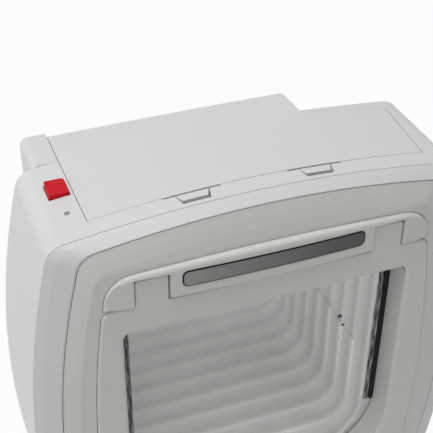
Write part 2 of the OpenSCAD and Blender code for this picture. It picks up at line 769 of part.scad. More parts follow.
// Bridge over the hinge, notched for the surround's tabs
bridge_bow = 2.8;
mid_low = joint_z + 1.8;
notch_top = tab_top + 1.5;
bridge_pts = let (
    n0 = tab_in + tab_w + tab_gap,
    n1 = tab_in - tab_gap,
    low = joint_z + shoulder_gap,
    half = concat([[0, mid_low], [n1, mid_low], [n1, notch_top], [n0, notch_top], [n0, low],
                   [side_x(joint_z) - 0.2, low]], brow(bridge_top)))
    concat(half, flip_x([for (i = [1:len(half) - 2]) half[i]]));
module bridge_outline() {
    polygon(bridge_pts);
}
hollow_side = 3;
hollow_r = 1;
label_gap = 0.25;
label_up = 2;
module hinge_bridge() color("whitesmoke") {
    difference() {
        intersection() {
            bow_solid(bridge_y, bridge_bow, side_x(joint_z), seat_y - edge_gap);
            slab(bridge_y - 1, seat_y) bridge_outline();
        }
        slab(frame_back_y, seat_y)
            polygon(round_rect([hollow_side - tab_in, mid_low + skirt_t],
                               [tab_in - hollow_side, bridge_top - hollow_side], hollow_r, hollow_r));
        label_shape(label_gap, label_t - label_proud, label_up);
    }
}

// Bare plate that follows the bridge's bow
label_proud = 0.3;
label_r = 2.6;
module label_shape(g, deep, up) {
    intersection() {
        bow_solid(bridge_y - up, bridge_bow, side_x(joint_z), bridge_y + bridge_bow + 1);
        slab(bridge_y - 3, bridge_y + 4)
            polygon(round_rect([-label_w / 2 - g, label_z - label_h / 2 - g],
                               [label_w / 2 + g, label_z + label_h / 2 + g], label_r + g, label_r + g));
        translate([0, deep - bridge_bow - 1, 0]) bow_front(bridge_y, bridge_bow, side_x(joint_z));
    }
}
// Slab that ends at the bowed front on its rear side
module bow_front(front, bow, hw) {
    translate([0, 0, -half_h]) linear_extrude(body_h) polygon(concat(
        [for (i = [-plan_n:plan_n]) let (x = hw * i / plan_n) [x, front + bow * pow(x / hw, 2) + bow + 1]],
        [[hw, front - 6], [-hw, front - 6]]));
}
module label_plate() color("dimgray") label_shape(0, label_t - label_proud - 0.05, label_proud);

// Battery lid with its knuckles and the windows for the latches
module battery_lid() color("white") {
    difference() {
        skin(0, -lid_t, 0);
        at_ears()
            rod_x(-ear_t / 2 - soft_fit, ear_t / 2 + soft_fit, lid_axis_y, lid_axis_z, ear_r + soft_fit);
    }
    lip_high = front_z(latch_x + lip_w / 2 + latch_shift, lid_y) - lid_t + lip_root;
    for (s = [-1, 1]) at_latch(s) difference() {
        block([-lip_w / 2, lid_y, lip_low], [lip_w / 2, lid_y + lip_t, lip_high]);
        block([-window_w / 2, lid_y - 1, window_low],
              [window_w / 2, lid_y + lip_t + 1, window_low + window_h]);
    }
    for (x = knuckle_x) difference() {
        union() {
            rod_x(x - knuckle_w / 2, x + knuckle_w / 2, lid_axis_y, lid_axis_z, ear_r);
            block([x - knuckle_w / 2, lid_axis_y - 2, lid_axis_z],
                  [x + knuckle_w / 2, lid_axis_y + 1, box_top - lid_t + 0.4]);
        }
        rod_x(x - knuckle_w, x + knuckle_w, lid_axis_y, lid_axis_z, lid_pin_r + run_gap);
    }
}
module lid_hinge_pin() color("silver") {
    for (x = knuckle_x) rod_x(x - knuckle_w / 2 - ear_t - 0.2, x + knuckle_w / 2 + ear_t + 0.2,
                              lid_axis_y, lid_axis_z, lid_pin_r);
}

// Latch with a finger pad, a leg and a nose that reaches through the lid's window
module latch(s) {
    low = window_low + (window_h - nose_t) / 2;
    under = front_z(latch_x + flange_w / 2 + latch_shift, flange_front) - wall - soft_fit;
    flange_z = under - flange_t;
    at_latch(s) {
        intersection() {
            column(flange_z + flange_t / 2) polygon(pad_plan(0));
            translate([latch_shift - s * latch_x, 0, 0]) front_solid();
        }
        block([-flange_w / 2, flange_front, flange_z], [flange_w / 2, latch_y - leg_gap, under]);
        block([-leg_w / 2, latch_y - leg_gap - leg_t, low], [leg_w / 2, latch_y - leg_gap, flange_z + eps]);
        block([-leg_w / 2, latch_y - leg_gap - eps, low], [leg_w / 2, lid_y + latch_lap, low + nose_t]);
    }
}
module latch_left() color("white") latch(-1);
module latch_right() color("white") latch(1);

// Red learn button with its spring, switch, board and lamp
button_top = front_z(button_x, button_y) + button_proud;
flange_top = front_z(button_x + 6, button_y) - wall - soft_fit - 0.1;
button_flange_t = 1.2;
button_flange = 1.2;
button_round = 1.4;
stem_r = 1.8;
switch_w = 6;
switch_h = 3.4;
plunger_h = 1;
plunger_r = 1.6;
board_z = shelf_z + shelf_t;
board_top = board_z + board_t;
spring_r = 5;
spring_wire = 0.45;
spring_turns = 4;
module learn_button() color("crimson") translate([-button_x, button_y, 0]) {
    intersection() {
        column(flange_top - eps) polygon(round_rect(
            [-button_w / 2, -button_l / 2], [button_w / 2, button_l / 2], button_round, button_round));
        block([-button_w, -button_l, 0], [button_w, button_l, button_top]);
    }
    block([-button_w / 2 - button_flange, -button_l / 2 - button_flange, flange_top - button_flange_t],
          [button_w / 2 + button_flange, button_l / 2 + button_flange, flange_top]);
    rod_z(board_top + switch_h + plunger_h + button_travel + 0.3, flange_top, 0, 0, stem_r);
}
spring_steps = 14;
// Tube of six sides along a rising coil
module button_spring() color("silver") translate([-button_x, button_y, board_top + spring_wire]) {
    h = flange_top - button_flange_t - board_top - 2 * spring_wire;
    n = spring_turns * spring_steps;
    polyhedron(
        points = [for (k = [0:n]) let (a = 360 * k / spring_steps) for (j = [0:5])
            let (q = spring_r + spring_wire * cos(60 * j))
            [q * cos(a), q * sin(a), h * k / n + spring_wire * sin(60 * j)]],
        faces = concat(
            [[for (j = [0:5]) j]],
            [[for (j = [5:-1:0]) n * 6 + j]],
            [for (k = [0:n - 1]) for (j = [0:5])
                let (p = k * 6 + j, q = k * 6 + (j + 1) % 6) [p, p + 6, q]],
            [for (k = [0:n - 1]) for (j = [0:5])
                let (p = k * 6 + j, q = k * 6 + (j + 1) % 6) [q, p + 6, q + 6]]));
}
module learn_switch() color("dimgray") translate([-button_x, button_y, 0]) {
    block([-switch_w / 2, -switch_w / 2, board_top], [switch_w / 2, switch_w / 2, board_top + switch_h]);
    rod_z(board_top + switch_h - eps, board_top + switch_h + plunger_h, 0, 0, plunger_r);
}
board_side = [7.5, 7];
board_rim = 1;
board_hole = [5, 3, 0.8];
lamp_chip = [3, 2, 1.2];
lamp_air = 0.4;
lamp_up = 0.3;
collar_t = 1.2;
collar_drop = 0.8;
module switch_board() color("seagreen") {
    difference() {
        block([-button_x - board_side[0], board_y + board_rim, board_z],
              [-button_x + board_side[1], board_y + board_l - board_rim, board_top]);
        for (y = [board_y + board_hole.y, board_y + board_l - board_hole.y])
            rod_z(board_z - 1, board_top + 1, -button_x + board_hole.x, y, board_hole.z);
    }
    block([-button_x - lamp_chip.x / 2, lamp_y - lamp_chip.y / 2, board_top - eps],
          [-button_x + lamp_chip.x / 2, lamp_y + lamp_chip.y / 2, board_top + lamp_chip.z]);
}
module lamp_lens() color("lightgray") translate([-button_x, lamp_y, 0]) {
    top = front_z(button_x, lamp_y);
    under = top - wall - collar_drop;
    rod_z(board_top + lamp_chip.z + lamp_air, top + lamp_up, 0, 0, lamp_r);
    rod_z(under - collar_t, under, 0, 0, lamp_r + collar_drop);
}

// Clear flap on its hinge rod
flap_bead = 2.4;
mark_t = 0.2;
bead_t = 3;
flap_r = opening_r - 3;
barrel_hw = tunnel_hw - 3;
rod_hw = tunnel_hw + 3.2;
bush_in = tunnel_hw + 0.3;
bush_w = 3;
bush_r = 3.2;
magnet_h = 4;
module flap_outline(inset) {
    polygon(round_rect([-flap_hw + inset, flap_low + inset], [flap_hw - inset, hinge_z - 1 - inset],
                       flap_r - inset, 1));
}
magnet_t = 2.2;
magnet_up = 3;
module magnet_box(g) {
    block([-magnet_w / 2 - g, hinge_y - magnet_t / 2 - g / 2, flap_low + magnet_up - g],
          [magnet_w / 2 + g, hinge_y + magnet_t / 2 + g / 2, flap_low + magnet_up + magnet_h + g]);
}
module flap() color("lightblue", 0.5) {
    difference() {
        union() {
            slab(hinge_y - flap_t / 2, hinge_y + flap_t / 2) flap_outline(0);
            difference() {
                slab(hinge_y - bead_t / 2, hinge_y + bead_t / 2) flap_outline(0);
                slab(hinge_y - bead_t, hinge_y + bead_t) flap_outline(flap_bead);
            }
            slab(hinge_y - bead_t / 2, hinge_y + bead_t / 2)
                polygon(round_rect([-magnet_w / 2 - magnet_up, flap_low],
                                   [magnet_w / 2 + magnet_up, flap_low + magnet_h + 2 * magnet_up], 1, 2));
            rod_x(-barrel_hw, barrel_hw, hinge_y, hinge_z, barrel_r);
        }
        magnet_box(0.02);
        rod_x(-barrel_hw - 1, barrel_hw + 1, hinge_y, hinge_z, hinge_rod_r + thread_gap);
        block([-half_w, hinge_y - 2, hinge_z - 2.4], [-barrel_hw, hinge_y + 2, hinge_z + 2]);
        block([barrel_hw, hinge_y - 2, hinge_z - 2.4], [half_w, hinge_y + 2, hinge_z + 2]);
    }
}
module hinge_rod() color("silver") rod_x(-rod_hw, rod_hw, hinge_y, hinge_z, hinge_rod_r);
module hinge_bushes() color("gray") {
    for (s = [-1, 1]) difference() {
        rod_x(min(s * bush_in, s * (bush_in + bush_w)),
              max(s * bush_in, s * (bush_in + bush_w)), hinge_y, hinge_z, bush_r);
        rod_x(-half_w, half_w, hinge_y, hinge_z, hinge_rod_r + run_gap);
    }
}
module flap_magnet() color("gray") magnet_box(0);
// Distance from the flap's side, fall from the hinge, half width and half height of each mark
marks = [[18.9, 38.4, 1.4, 1.2], [16.8, 45.6, 1.1, -0.9]];
// Moulded marks on the flap's front
module flap_marks() color("black") {
    for (m = marks) slab(hinge_y - flap_t / 2 - mark_t, hinge_y - flap_t / 2)
        translate([flap_hw - m[0], hinge_z - m[1]]) polygon([[-m[2], -m[3]], [m[2], -m[3]], [0, m[3]]]);
}

// Tunnel with its flange, hinge cheeks and dial bearing
face_y = hinge_y;
flange_d = 2.4;
tunnel_flange = 3.6;
cheek_in = tunnel_hw - 0.2;
cheek_out = tunnel_hw + 4.2;
cheek_front = hinge_y - 4.6;
cheek_low = hinge_z - 3.7;
cheek_high = hinge_z + 5;
seal_end = cheek_low - 2.6;
bearing = [9, 8];
rib_start = 17;
rib_rise = 60;
rib_foot = 0.1;
way_r = 2;
function way_pts(inset, r) = round_rect([-tunnel_hw + inset, sill_z + inset],
                                        [tunnel_hw - inset, roof_z - inset], r - inset, way_r);
module tunnel() color("white") {
    rib_from = hinge_y + rib_start;
    rib_count = floor((tunnel_out - rib_from) / rib_pitch);
    difference() {
        union() {
            slab(face_y, tunnel_out) tunnel_ring(0);
            slab(face_y, face_y + flange_d) tunnel_ring(tunnel_flange);
            block([-bearing.x, face_y, dial_z - bearing.y], [bearing.x, face_y + flange_d, sill_z - 1]);
            for (s = [-1, 1]) block([min(s * cheek_in, s * cheek_out), cheek_front, cheek_low],
                                    [max(s * cheek_in, s * cheek_out), face_y + flange_d, cheek_high]);
        }
        slab(face_y - 1, face_y + flange_d + eps) polygon(way_pts(0, sill_r));
        difference() {
            slab(face_y + flange_d, tunnel_out + 1) polygon(way_pts(0, floor_r));
            // Steps of the floor, each falling away from the flap
            for (i = [0:rib_count - 1]) translate([0, rib_from + i * rib_pitch, 0]) intersection() {
                difference() {
                    slab(0, rib_pitch - eps) polygon(way_pts(-1, floor_r));
                    loft([-eps, rib_pitch / 2, rib_pitch],
                         [way_pts(rib_h, floor_r), way_pts(rib_h, floor_r), way_pts(rib_foot, floor_r)]);
                }
                block([-tunnel_ow, -1, sill_z - 5], [tunnel_ow, rib_pitch + 1, sill_z + rib_rise]);
            }
        }
        block([-cheek_in, face_y - 1, cheek_low - 4], [cheek_in, roof_y, tunnel_roof + 6]);
        rod_x(-bush_in - bush_w, bush_in + bush_w, hinge_y, hinge_z, bush_r);
        rod_y(face_y - 1, face_y + flange_d + 1, 0, dial_z, dial_shaft_r + run_gap);
        sill_box(0.02);
        block([-cam_slot, rear_cam_y - cam_room, sill_z - tunnel_t - 1],
              [cam_slot, rear_cam_y + cam_t + cam_room, sill_z + 1]);
    }
}
seal_t = 1;
brush_in = flap_hw + 0.7;
brush_w = 2.9;
brush_t = 0.8;
seal_r = 1.2;
strip_r = 0.2;
module side_seals() color("black") both_sides()
    slab(face_y - seal_t, face_y)
        polygon(round_rect([open_hw - seal_w, seal_low], [open_hw, seal_end], seal_r, strip_r));
module side_brushes() color("gray") both_sides()
    slab(face_y - brush_t, face_y)
        polygon(round_rect([brush_in, seal_low], [brush_in + brush_w, seal_end], strip_r, strip_r));
sill_magnet_h = 2.4;
module sill_box(g) {
    block([-magnet_w / 2 - g, face_y - g, sill_z - tunnel_t - sill_magnet_h - g],
          [magnet_w / 2 + g, face_y + flange_d - 0.2 + g, sill_z - tunnel_t + g]);
}
module sill_magnet() color("gray") sill_box(0);

// Reader coil round the tunnel
coil_front = hinge_y + 11.6;
former_gap = 0.4;
former_t = 1.4;
former_lip = 4.6;
module coil_former() color("gainsboro") {
    difference() {
        slab(coil_front, coil_front + coil_d) tunnel_ring(former_gap + former_t + former_lip);
        slab(coil_front - 1, coil_front + coil_d + 1) tunnel_ring(former_gap);
        slab(coil_front + former_t, coil_front + coil_d - former_t) difference() {
            tunnel_ring(former_gap + former_t + former_lip + 1);
            tunnel_ring(former_gap + former_t);
        }
    }
}
module antenna_coil() color("peru") slab(coil_front + former_t + 0.1, coil_front + coil_d - former_t - 0.1)
    difference() {
        tunnel_ring(former_gap + former_t + coil_t);
        tunnel_ring(former_gap + former_t);
    }

// Main board on posts of the rear cover
main_x = [half_w - 33.5, half_w - 9.5];
main_z = [76 - half_h, half_h - 80];
main_y = step_y - 18.5;
main_mid = (main_z[0] + main_z[1]) / 2;
hole_r = 1.2;
hole_in = 4;
spacer_r = 3;
chip_x = main_x[0] + 9;
module main_board() color("seagreen") {
    difference() {
        block([main_x[0], main_y, main_z[0]], [main_x[1], main_y + board_t, main_z[1]]);
        for (z = main_z) rod_y(main_y - 1, main_y + 3, main_x[0] + hole_in, z - sign(z) * hole_in, hole_r);
    }
    for (z = main_z) difference() {
        rod_y(main_y + board_t, cover_y, main_x[0] + hole_in, z - sign(z) * hole_in, spacer_r);
        rod_y(main_y, cover_y + 1, main_x[0] + hole_in, z - sign(z) * hole_in, hole_r);
    }
}
// Place across and up, width, height and thickness of each chip and of the plug for the leads
plug_down = 16;
chips = [[0, 6, 10, 10, 1.6], [2, -12, 7, 5, 1.4], [4, -32, 5, 4, 1.4],
         [1, main_z[1] - main_mid - plug_down, 4, 8, 4]];
can_l = 7;
can_r = 3;
can_in = 5;
can_up = 24;
module board_chips() color("dimgray") {
    for (c = chips) translate([chip_x + c[0], main_y - c[4], main_mid + c[1]]) cube([c[2], c[4], c[3]]);
    for (s = [-1, 1]) rod_y(main_y - can_l, main_y, main_x[0] + can_in, main_mid + s * can_up, can_r);
}

// Battery tray with four cells in two rows
cell_fall = 14.8;
row_front = 13.5;
cell_z = box_top - cell_fall;
row_y = [step_y - row_front, step_y - row_front + cell_pitch];
cell_side = 1;
cell_room = 0.3;
cell_under = 0.4;
cell_hold = 3.4;
tray_y0 = row_y[0] - cell_r - cell_side - tray_t;
tray_y1 = row_y[1] + cell_r + cell_side + tray_t;
tray_low = cell_z - cell_r - cell_under - tray_t;
tray_high = cell_z + cell_hold;
cell_x = [tray_x0 + tray_t + tray_end, tray_x0 + tray_t + tray_end + cell_l + cell_gap];
scoop_in = 26;
scoop_w = 8;
scoop_low = 2;
foot_back = 6;
module battery_tray() color("dimgray") {
    difference() {
        block([tray_x0, tray_y0, tray_low], [tray_x1, tray_y1, tray_high]);
        for (y = row_y) block([tray_x0 + tray_t, y - cell_r - cell_room, tray_low + tray_t],
                              [tray_x1 - tray_t, y + cell_r + cell_room, tray_high + 1]);
        for (x = [tray_x0 + scoop_in, tray_x1 - scoop_in])
            block([x - scoop_w, tray_y0 - 1, cell_z - scoop_low], [x + scoop_w, tray_y1 + 1, tray_high + 1]);
    }
    for (x = [tray_x0, tray_x1 - tray_t])
        block([x, step_y + foot_back, collar_high], [x + tray_t, tray_y1, tray_low + eps]);
}
nub_r = 2.6;
nub_l = 1.4;
module battery_cells() color("darkslategray") {
    for (i = [0:1]) for (x = cell_x) {
        s = i == 0 ? 1 : -1;
        a = x + (s > 0 ? 0 : nub_l);
        rod_x(a, a + cell_l - nub_l, row_y[i], cell_z, cell_r);
        rod_x(s > 0 ? a + cell_l - nub_l - eps : x, s > 0 ? x + cell_l : a + eps, row_y[i], cell_z, nub_r);
    }
}
leaf_t = 0.4;
leaf_w = 10;
link_l = 2;
link_r = 2;
link_gap = 0.2;
coil_rs = [2.6, 3.6, 4.6];
coil_reach = 5.2;
coil_wire = 0.35;
module battery_contacts() color("silver") {
    for (i = [0:1]) {
        for (x = [tray_x0 + tray_t, tray_x1 - tray_t - leaf_t])
            block([x, row_y[i] - leaf_w / 2, cell_z - leaf_w / 2],
                  [x + leaf_t, row_y[i] + leaf_w / 2, cell_z + leaf_w / 2]);
        rod_x(cell_x[1] - link_l - link_gap, cell_x[1] - link_gap, row_y[i], cell_z, link_r);
    }
    for (r = coil_rs) {
        spring_ring(tray_x0 + tray_t + coil_reach - r, row_y[0], r);
        spring_ring(tray_x1 - tray_t - coil_reach + r, row_y[1], r);
    }
}
module spring_ring(x, y, r) {
    translate([x, y, cell_z]) rotate([0, 90, 0]) rotate_extrude() translate([r, 0])
        circle(r = coil_wire, $fn = 16);
}

// Lock bolt with a rack, its pinion, motor and guide
lock_w = 6;
lock_t = 5;
lock_high = open_low - 0.3;
lock_low = open_low - 34;
bolt_back = 2.5;
pinion_fall = 18;
mesh_gap = 0.25;
bolt_y = frame_back_y + bolt_back;
tooth_m = 2 * pinion_r / pinion_teeth;
tooth_p = 3.1416 * tooth_m;
rack_x = -lock_x - lock_w / 2;
pinion_x = rack_x - pinion_r - mesh_gap;
pinion_z = open_low - pinion_fall;
pinion_y = bolt_y + 0.3;
pinion_w = 4.4;
motor_r = 8;
motor_y = seam_y + 0.1;
motor_l = 24;
shaft_r = 1;
module rack_tooth(z) {
    rotate([90, 0, 0]) translate([0, 0, -pinion_y - pinion_w]) linear_extrude(pinion_w) polygon([
        [rack_x + 1.2 * tooth_m, z - tooth_p * 0.34], [rack_x - 0.9 * tooth_m, z - tooth_p * 0.12],
        [rack_x - 0.9 * tooth_m, z + tooth_p * 0.12], [rack_x + 1.2 * tooth_m, z + tooth_p * 0.34]]);
}
module lock_bolt() color("gainsboro") {
    block([rack_x + 1.1 * tooth_m, bolt_y, lock_low], [-lock_x + lock_w / 2, bolt_y + lock_t, lock_high]);
    block([rack_x, bolt_y, pinion_z + 12], [-lock_x + lock_w / 2, bolt_y + lock_t, lock_high]);
    for (i = [-5:3]) rack_tooth(pinion_z + i * tooth_p);
}
module lock_pinion() color("goldenrod") translate([pinion_x, 0, pinion_z]) {
    rod_y(pinion_y, pinion_y + pinion_w, 0, 0, pinion_r - 1.15 * tooth_m);
    for (i = [0:pinion_teeth - 1]) rotate([0, (i + 0.5) * 360 / pinion_teeth, 0])
        slab(pinion_y, pinion_y + pinion_w) polygon([
            [pinion_r - 1.4 * tooth_m, -tooth_p * 0.32], [pinion_r + 0.85 * tooth_m, -tooth_p * 0.11],
            [pinion_r + 0.85 * tooth_m, tooth_p * 0.11], [pinion_r - 1.4 * tooth_m, tooth_p * 0.32]]);
    rod_y(pinion_y, motor_y + 2, 0, 0, shaft_r);
}
module lock_motor() color("silver") translate([pinion_x, 0, pinion_z]) {
    difference() {
        intersection() {
            rod_y(motor_y, motor_y + motor_l, 0, 0, motor_r);
            block([-motor_r, motor_y - 1, -motor_r * 0.78], [motor_r, motor_y + motor_l + 1, motor_r * 0.78]);
        }
        rod_y(motor_y - 1, motor_y + 2.4, 0, 0, shaft_r + run_gap);
    }
}
guide_t = 1.6;
guide_low = open_low - 35;
guide_high = open_low - 6;
guide_side = 3;
guide_hole_r = 3;
guide_room = 1;
bolt_gap = 0.35;
guide_x = [pinion_x - pinion_r - guide_side, -lock_x + lock_w / 2 + bolt_gap];
module lock_guide() color("gainsboro") {
    x0 = guide_x[0];
    x1 = guide_x[1];
    difference() {
        union() {
            block([x0, motor_y - guide_t - 0.1, guide_low], [x1 + guide_t, motor_y - 0.1, guide_high]);
            block([x1, frame_back_y, guide_low], [x1 + guide_t, motor_y - 0.1, guide_high]);
            block([x0, frame_back_y, guide_low], [x0 + guide_t, motor_y - 0.1, guide_high]);
        }
        rod_y(motor_y - guide_side, motor_y + 1, pinion_x, pinion_z, guide_hole_r);
    }
}

// Four-way dial with two stop cams, one on each side of the flap
dial_z = open_low - dial_down;
dial_t = 4.6;
dial_sink = 1.2;
dial_gap = 0.4;
dial_shaft_r = 3;
dial_hub_r = 6;
dial_hub_y = seam_y - 2;
cam_t = 2;
cam_span = 150;
cam_n = 10;
cam_hub = 1.6;
cam_room = 0.5;
lock_room = 0.4;
front_cam_y = hinge_y - 4.8;
rear_cam_y = hinge_y + 3.2;
cam_slot = sqrt(pow(cam_r, 2) - pow(open_low - reveal_t - 0.4 - dial_z, 2)) + 0.1 + cam_room;
module cam(y, mid) {
    slab(y, y + cam_t) translate([0, dial_z])
        polygon(concat(
            arc_pts([0, 0], cam_r, mid - cam_span / 2, mid + cam_span / 2, cam_n),
            arc_pts([0, 0], dial_shaft_r + cam_hub, mid + cam_span / 2, mid + 360 - cam_span / 2, cam_n)));
}
grip_w = 4;
grip_h = 2.4;
dial_rim = 1.6;
dial_lap = 0.6;
shaft_end = 2;
module mode_dial() color("lightgray") {
    front = frame_y - dial_t + dial_sink;
    floor_y = front + grip_h;
    difference() {
        rod_y(front, frame_y + dial_sink - dial_gap, 0, dial_z, dial_r);
        for (s = [-1, 1]) block([min(s * grip_w / 2, s * dial_r), front - 1, dial_z - dial_r],
                                [max(s * grip_w / 2, s * dial_r), floor_y, dial_z + dial_r]);
    }
    difference() {
        rod_y(front, floor_y + dial_lap, 0, dial_z, dial_r);
        rod_y(front - 1, floor_y + dial_lap + 1, 0, dial_z, dial_r - dial_rim);
    }
    rod_y(frame_y + dial_sink - dial_gap - eps, rear_cam_y + cam_t + shaft_end, 0, dial_z, dial_shaft_r);
}
module stop_cams() color("gainsboro") difference() {
    union() {
        cam(front_cam_y, -45);
        cam(rear_cam_y, -135);
    }
    rod_y(front_cam_y - 1, rear_cam_y + cam_t + 1, 0, dial_z, dial_shaft_r + thread_gap);
}

// Foam seal, screws and leads
module foam_seal() color("dimgray") slab(-foam_d, 0) difference() {
    tunnel_ring(foam_in + foam_w - 0.2);
    tunnel_ring(foam_in + 0.2);
}
module case_screws() color("silver") at_posts() difference() {
    union() {
        rod_y(step_y - screw_head_h, step_y - 0.3, 0, 0, screw_head_r);
        rod_y(step_y - screw_l, step_y - screw_head_h + eps, 0, 0, screw_r);
    }
    block([-screw_head_r * 0.6, step_y - 1.1, -0.4], [screw_head_r * 0.6, step_y, 0.4]);
    block([-0.4, step_y - 1.1, -screw_head_r * 0.6], [0.4, step_y, screw_head_r * 0.6]);
}
wire_r = 0.8;
wire_sides = 10;
function unit(v) = v / norm(v);
function mitre(pts, i) = i == len(pts) - 1 ? unit(pts[i] - pts[i - 1])
    : unit(pts[i] - pts[i - 1]) + unit(pts[i + 1] - pts[i]);
function carry(ring, d, q, n) = [for (p = ring) p + d * ((q - p) * n) / (d * n)];
function bends(pts, ring, i = 0) = i == len(pts) - 1 ? ring
    : concat(ring, bends(pts, carry(ring, unit(pts[i + 1] - pts[i]), pts[i + 1], mitre(pts, i + 1)), i + 1));
// Insulated wire with mitred bends through the given points
module wire(pts) {
    n = wire_sides;
    m = len(pts) - 1;
    d = unit(pts[1] - pts[0]);
    u = unit(cross(d, [0, 0, 1]));
    v = cross(d, u);
    polyhedron(
        points = bends(pts, [for (j = [0:n - 1])
            let (a = 360 * j / n) pts[0] + wire_r * (cos(a) * u + sin(a) * v)]),
        faces = concat(
            [[for (j = [0:n - 1]) j]],
            [[for (j = [n - 1:-1:0]) m * n + j]],
            [for (k = [0:m - 1]) for (j = [0:n - 1]) let (p = k * n + j, q = k * n + (j + 1) % n)
                [p, p + n, q + n, q]]));
}
wire_pitch = 2.4;
lead_drop = [3, 6];
lead_x = [9, 12];
lead_z = [26.8, 58.8];
motor_turn = 12;
motor_back = 27.4;
module battery_leads() color("firebrick") {
    for (d = [0, wire_pitch])
        wire([[tray_x1 + wire_r, row_y[0] + d, cell_z - lead_drop[0]],
              [tray_x1 + wire_r + motor_turn, row_y[0] + d, cell_z - lead_drop[1]],
              [main_x[0] + lead_x[0], main_y - 4 + d, box_top - lead_z[0]],
              [main_x[0] + lead_x[1], main_y - 5 + d, box_top - lead_z[1]],
              [main_x[0] + lead_x[1], main_y - 4 + d, main_z[1] - 6.9]]);
}
module motor_leads() color("firebrick") {
    y1 = motor_y + motor_l + wire_r;
    y2 = hinge_y + motor_back;
    for (d = [0, wire_pitch])
        wire([[pinion_x, y1, pinion_z + d], [pinion_x + motor_turn, y2, pinion_z - 4 + d],
              [main_x[0] - 19, y2, pinion_z - 8 + d], [main_x[0] + 8 - 1.5 * d, y2 + 4, main_z[0] - 20],
              [main_x[0] + 14 - 1.5 * d, main_y - 1.1, main_z[0] + 4]]);
}

housing();
rear_cover();
front_rim();
front_panel();
flap_frame();
hinge_bridge();
label_plate();
battery_lid();
latch_left();
latch_right();
lid_hinge_pin();
learn_button();
button_spring();
learn_switch();
switch_board();
lamp_lens();
flap();
hinge_rod();
hinge_bushes();
flap_magnet();
flap_marks();
side_seals();
side_brushes();
sill_magnet();
tunnel();
coil_former();
antenna_coil();
main_board();
board_chips();
battery_tray();
battery_cells();
battery_contacts();
lock_bolt();
lock_pinion();
lock_motor();
lock_guide();
mode_dial();
stop_cams();
foam_seal();
case_screws();
battery_leads();
motor_leads();
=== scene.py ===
"""Looks of a door-mounted pet door unit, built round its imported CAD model. Lengths are metres."""

import json
import math

import bmesh
import bpy
from mathutils import Matrix, Vector


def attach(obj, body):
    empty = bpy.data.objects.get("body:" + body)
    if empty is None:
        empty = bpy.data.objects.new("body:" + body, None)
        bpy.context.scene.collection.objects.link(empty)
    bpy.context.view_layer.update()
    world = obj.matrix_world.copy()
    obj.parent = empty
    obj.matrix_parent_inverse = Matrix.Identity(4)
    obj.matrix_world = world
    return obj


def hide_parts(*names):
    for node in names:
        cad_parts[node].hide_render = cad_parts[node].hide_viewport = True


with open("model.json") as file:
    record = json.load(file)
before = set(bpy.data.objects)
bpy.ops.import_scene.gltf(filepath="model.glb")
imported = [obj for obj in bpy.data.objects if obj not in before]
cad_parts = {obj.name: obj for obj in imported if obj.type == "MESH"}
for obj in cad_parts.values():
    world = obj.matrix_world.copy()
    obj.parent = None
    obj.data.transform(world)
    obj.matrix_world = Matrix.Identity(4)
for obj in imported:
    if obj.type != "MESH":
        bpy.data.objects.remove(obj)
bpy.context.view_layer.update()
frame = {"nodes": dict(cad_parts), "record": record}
NODES = frame["nodes"]
MM = 0.001

# Camera, from the photograph's own geometry
CAMERA_AT = (-0.15296, -0.42836, 0.38550)
CAMERA_AZIMUTH = -20.76
CAMERA_ELEVATION = 37.95
CAMERA_ROLL = 0.47
SENSOR_MM = 36.0
LENS_MM = 87.42
SHIFT = (0.0047, 0.0668)


def make_camera():
    data = bpy.data.cameras.new("camera")
    data.sensor_width = SENSOR_MM
    data.lens = LENS_MM
    data.shift_x, data.shift_y = SHIFT
    data.clip_start, data.clip_end = 0.01, 20
    camera = bpy.data.objects.new("camera", data)
    bpy.context.scene.collection.objects.link(camera)
    a, e = math.radians(CAMERA_AZIMUTH), math.radians(CAMERA_ELEVATION)
    back = Vector((math.sin(a) * math.cos(e), -math.cos(a) * math.cos(e), math.sin(e)))
    right = (-back).cross(Vector((0, 0, 1))).normalized()
    up = right.cross(-back)
    t = math.radians(CAMERA_ROLL)
    x_axis = right * math.cos(t) + up * math.sin(t)
    y_axis = -right * math.sin(t) + up * math.cos(t)
    turn = Matrix((x_axis, y_axis, back)).transposed()
    camera.matrix_world = Matrix.Translation(CAMERA_AT) @ turn.to_4x4()
    bpy.context.scene.camera = camera


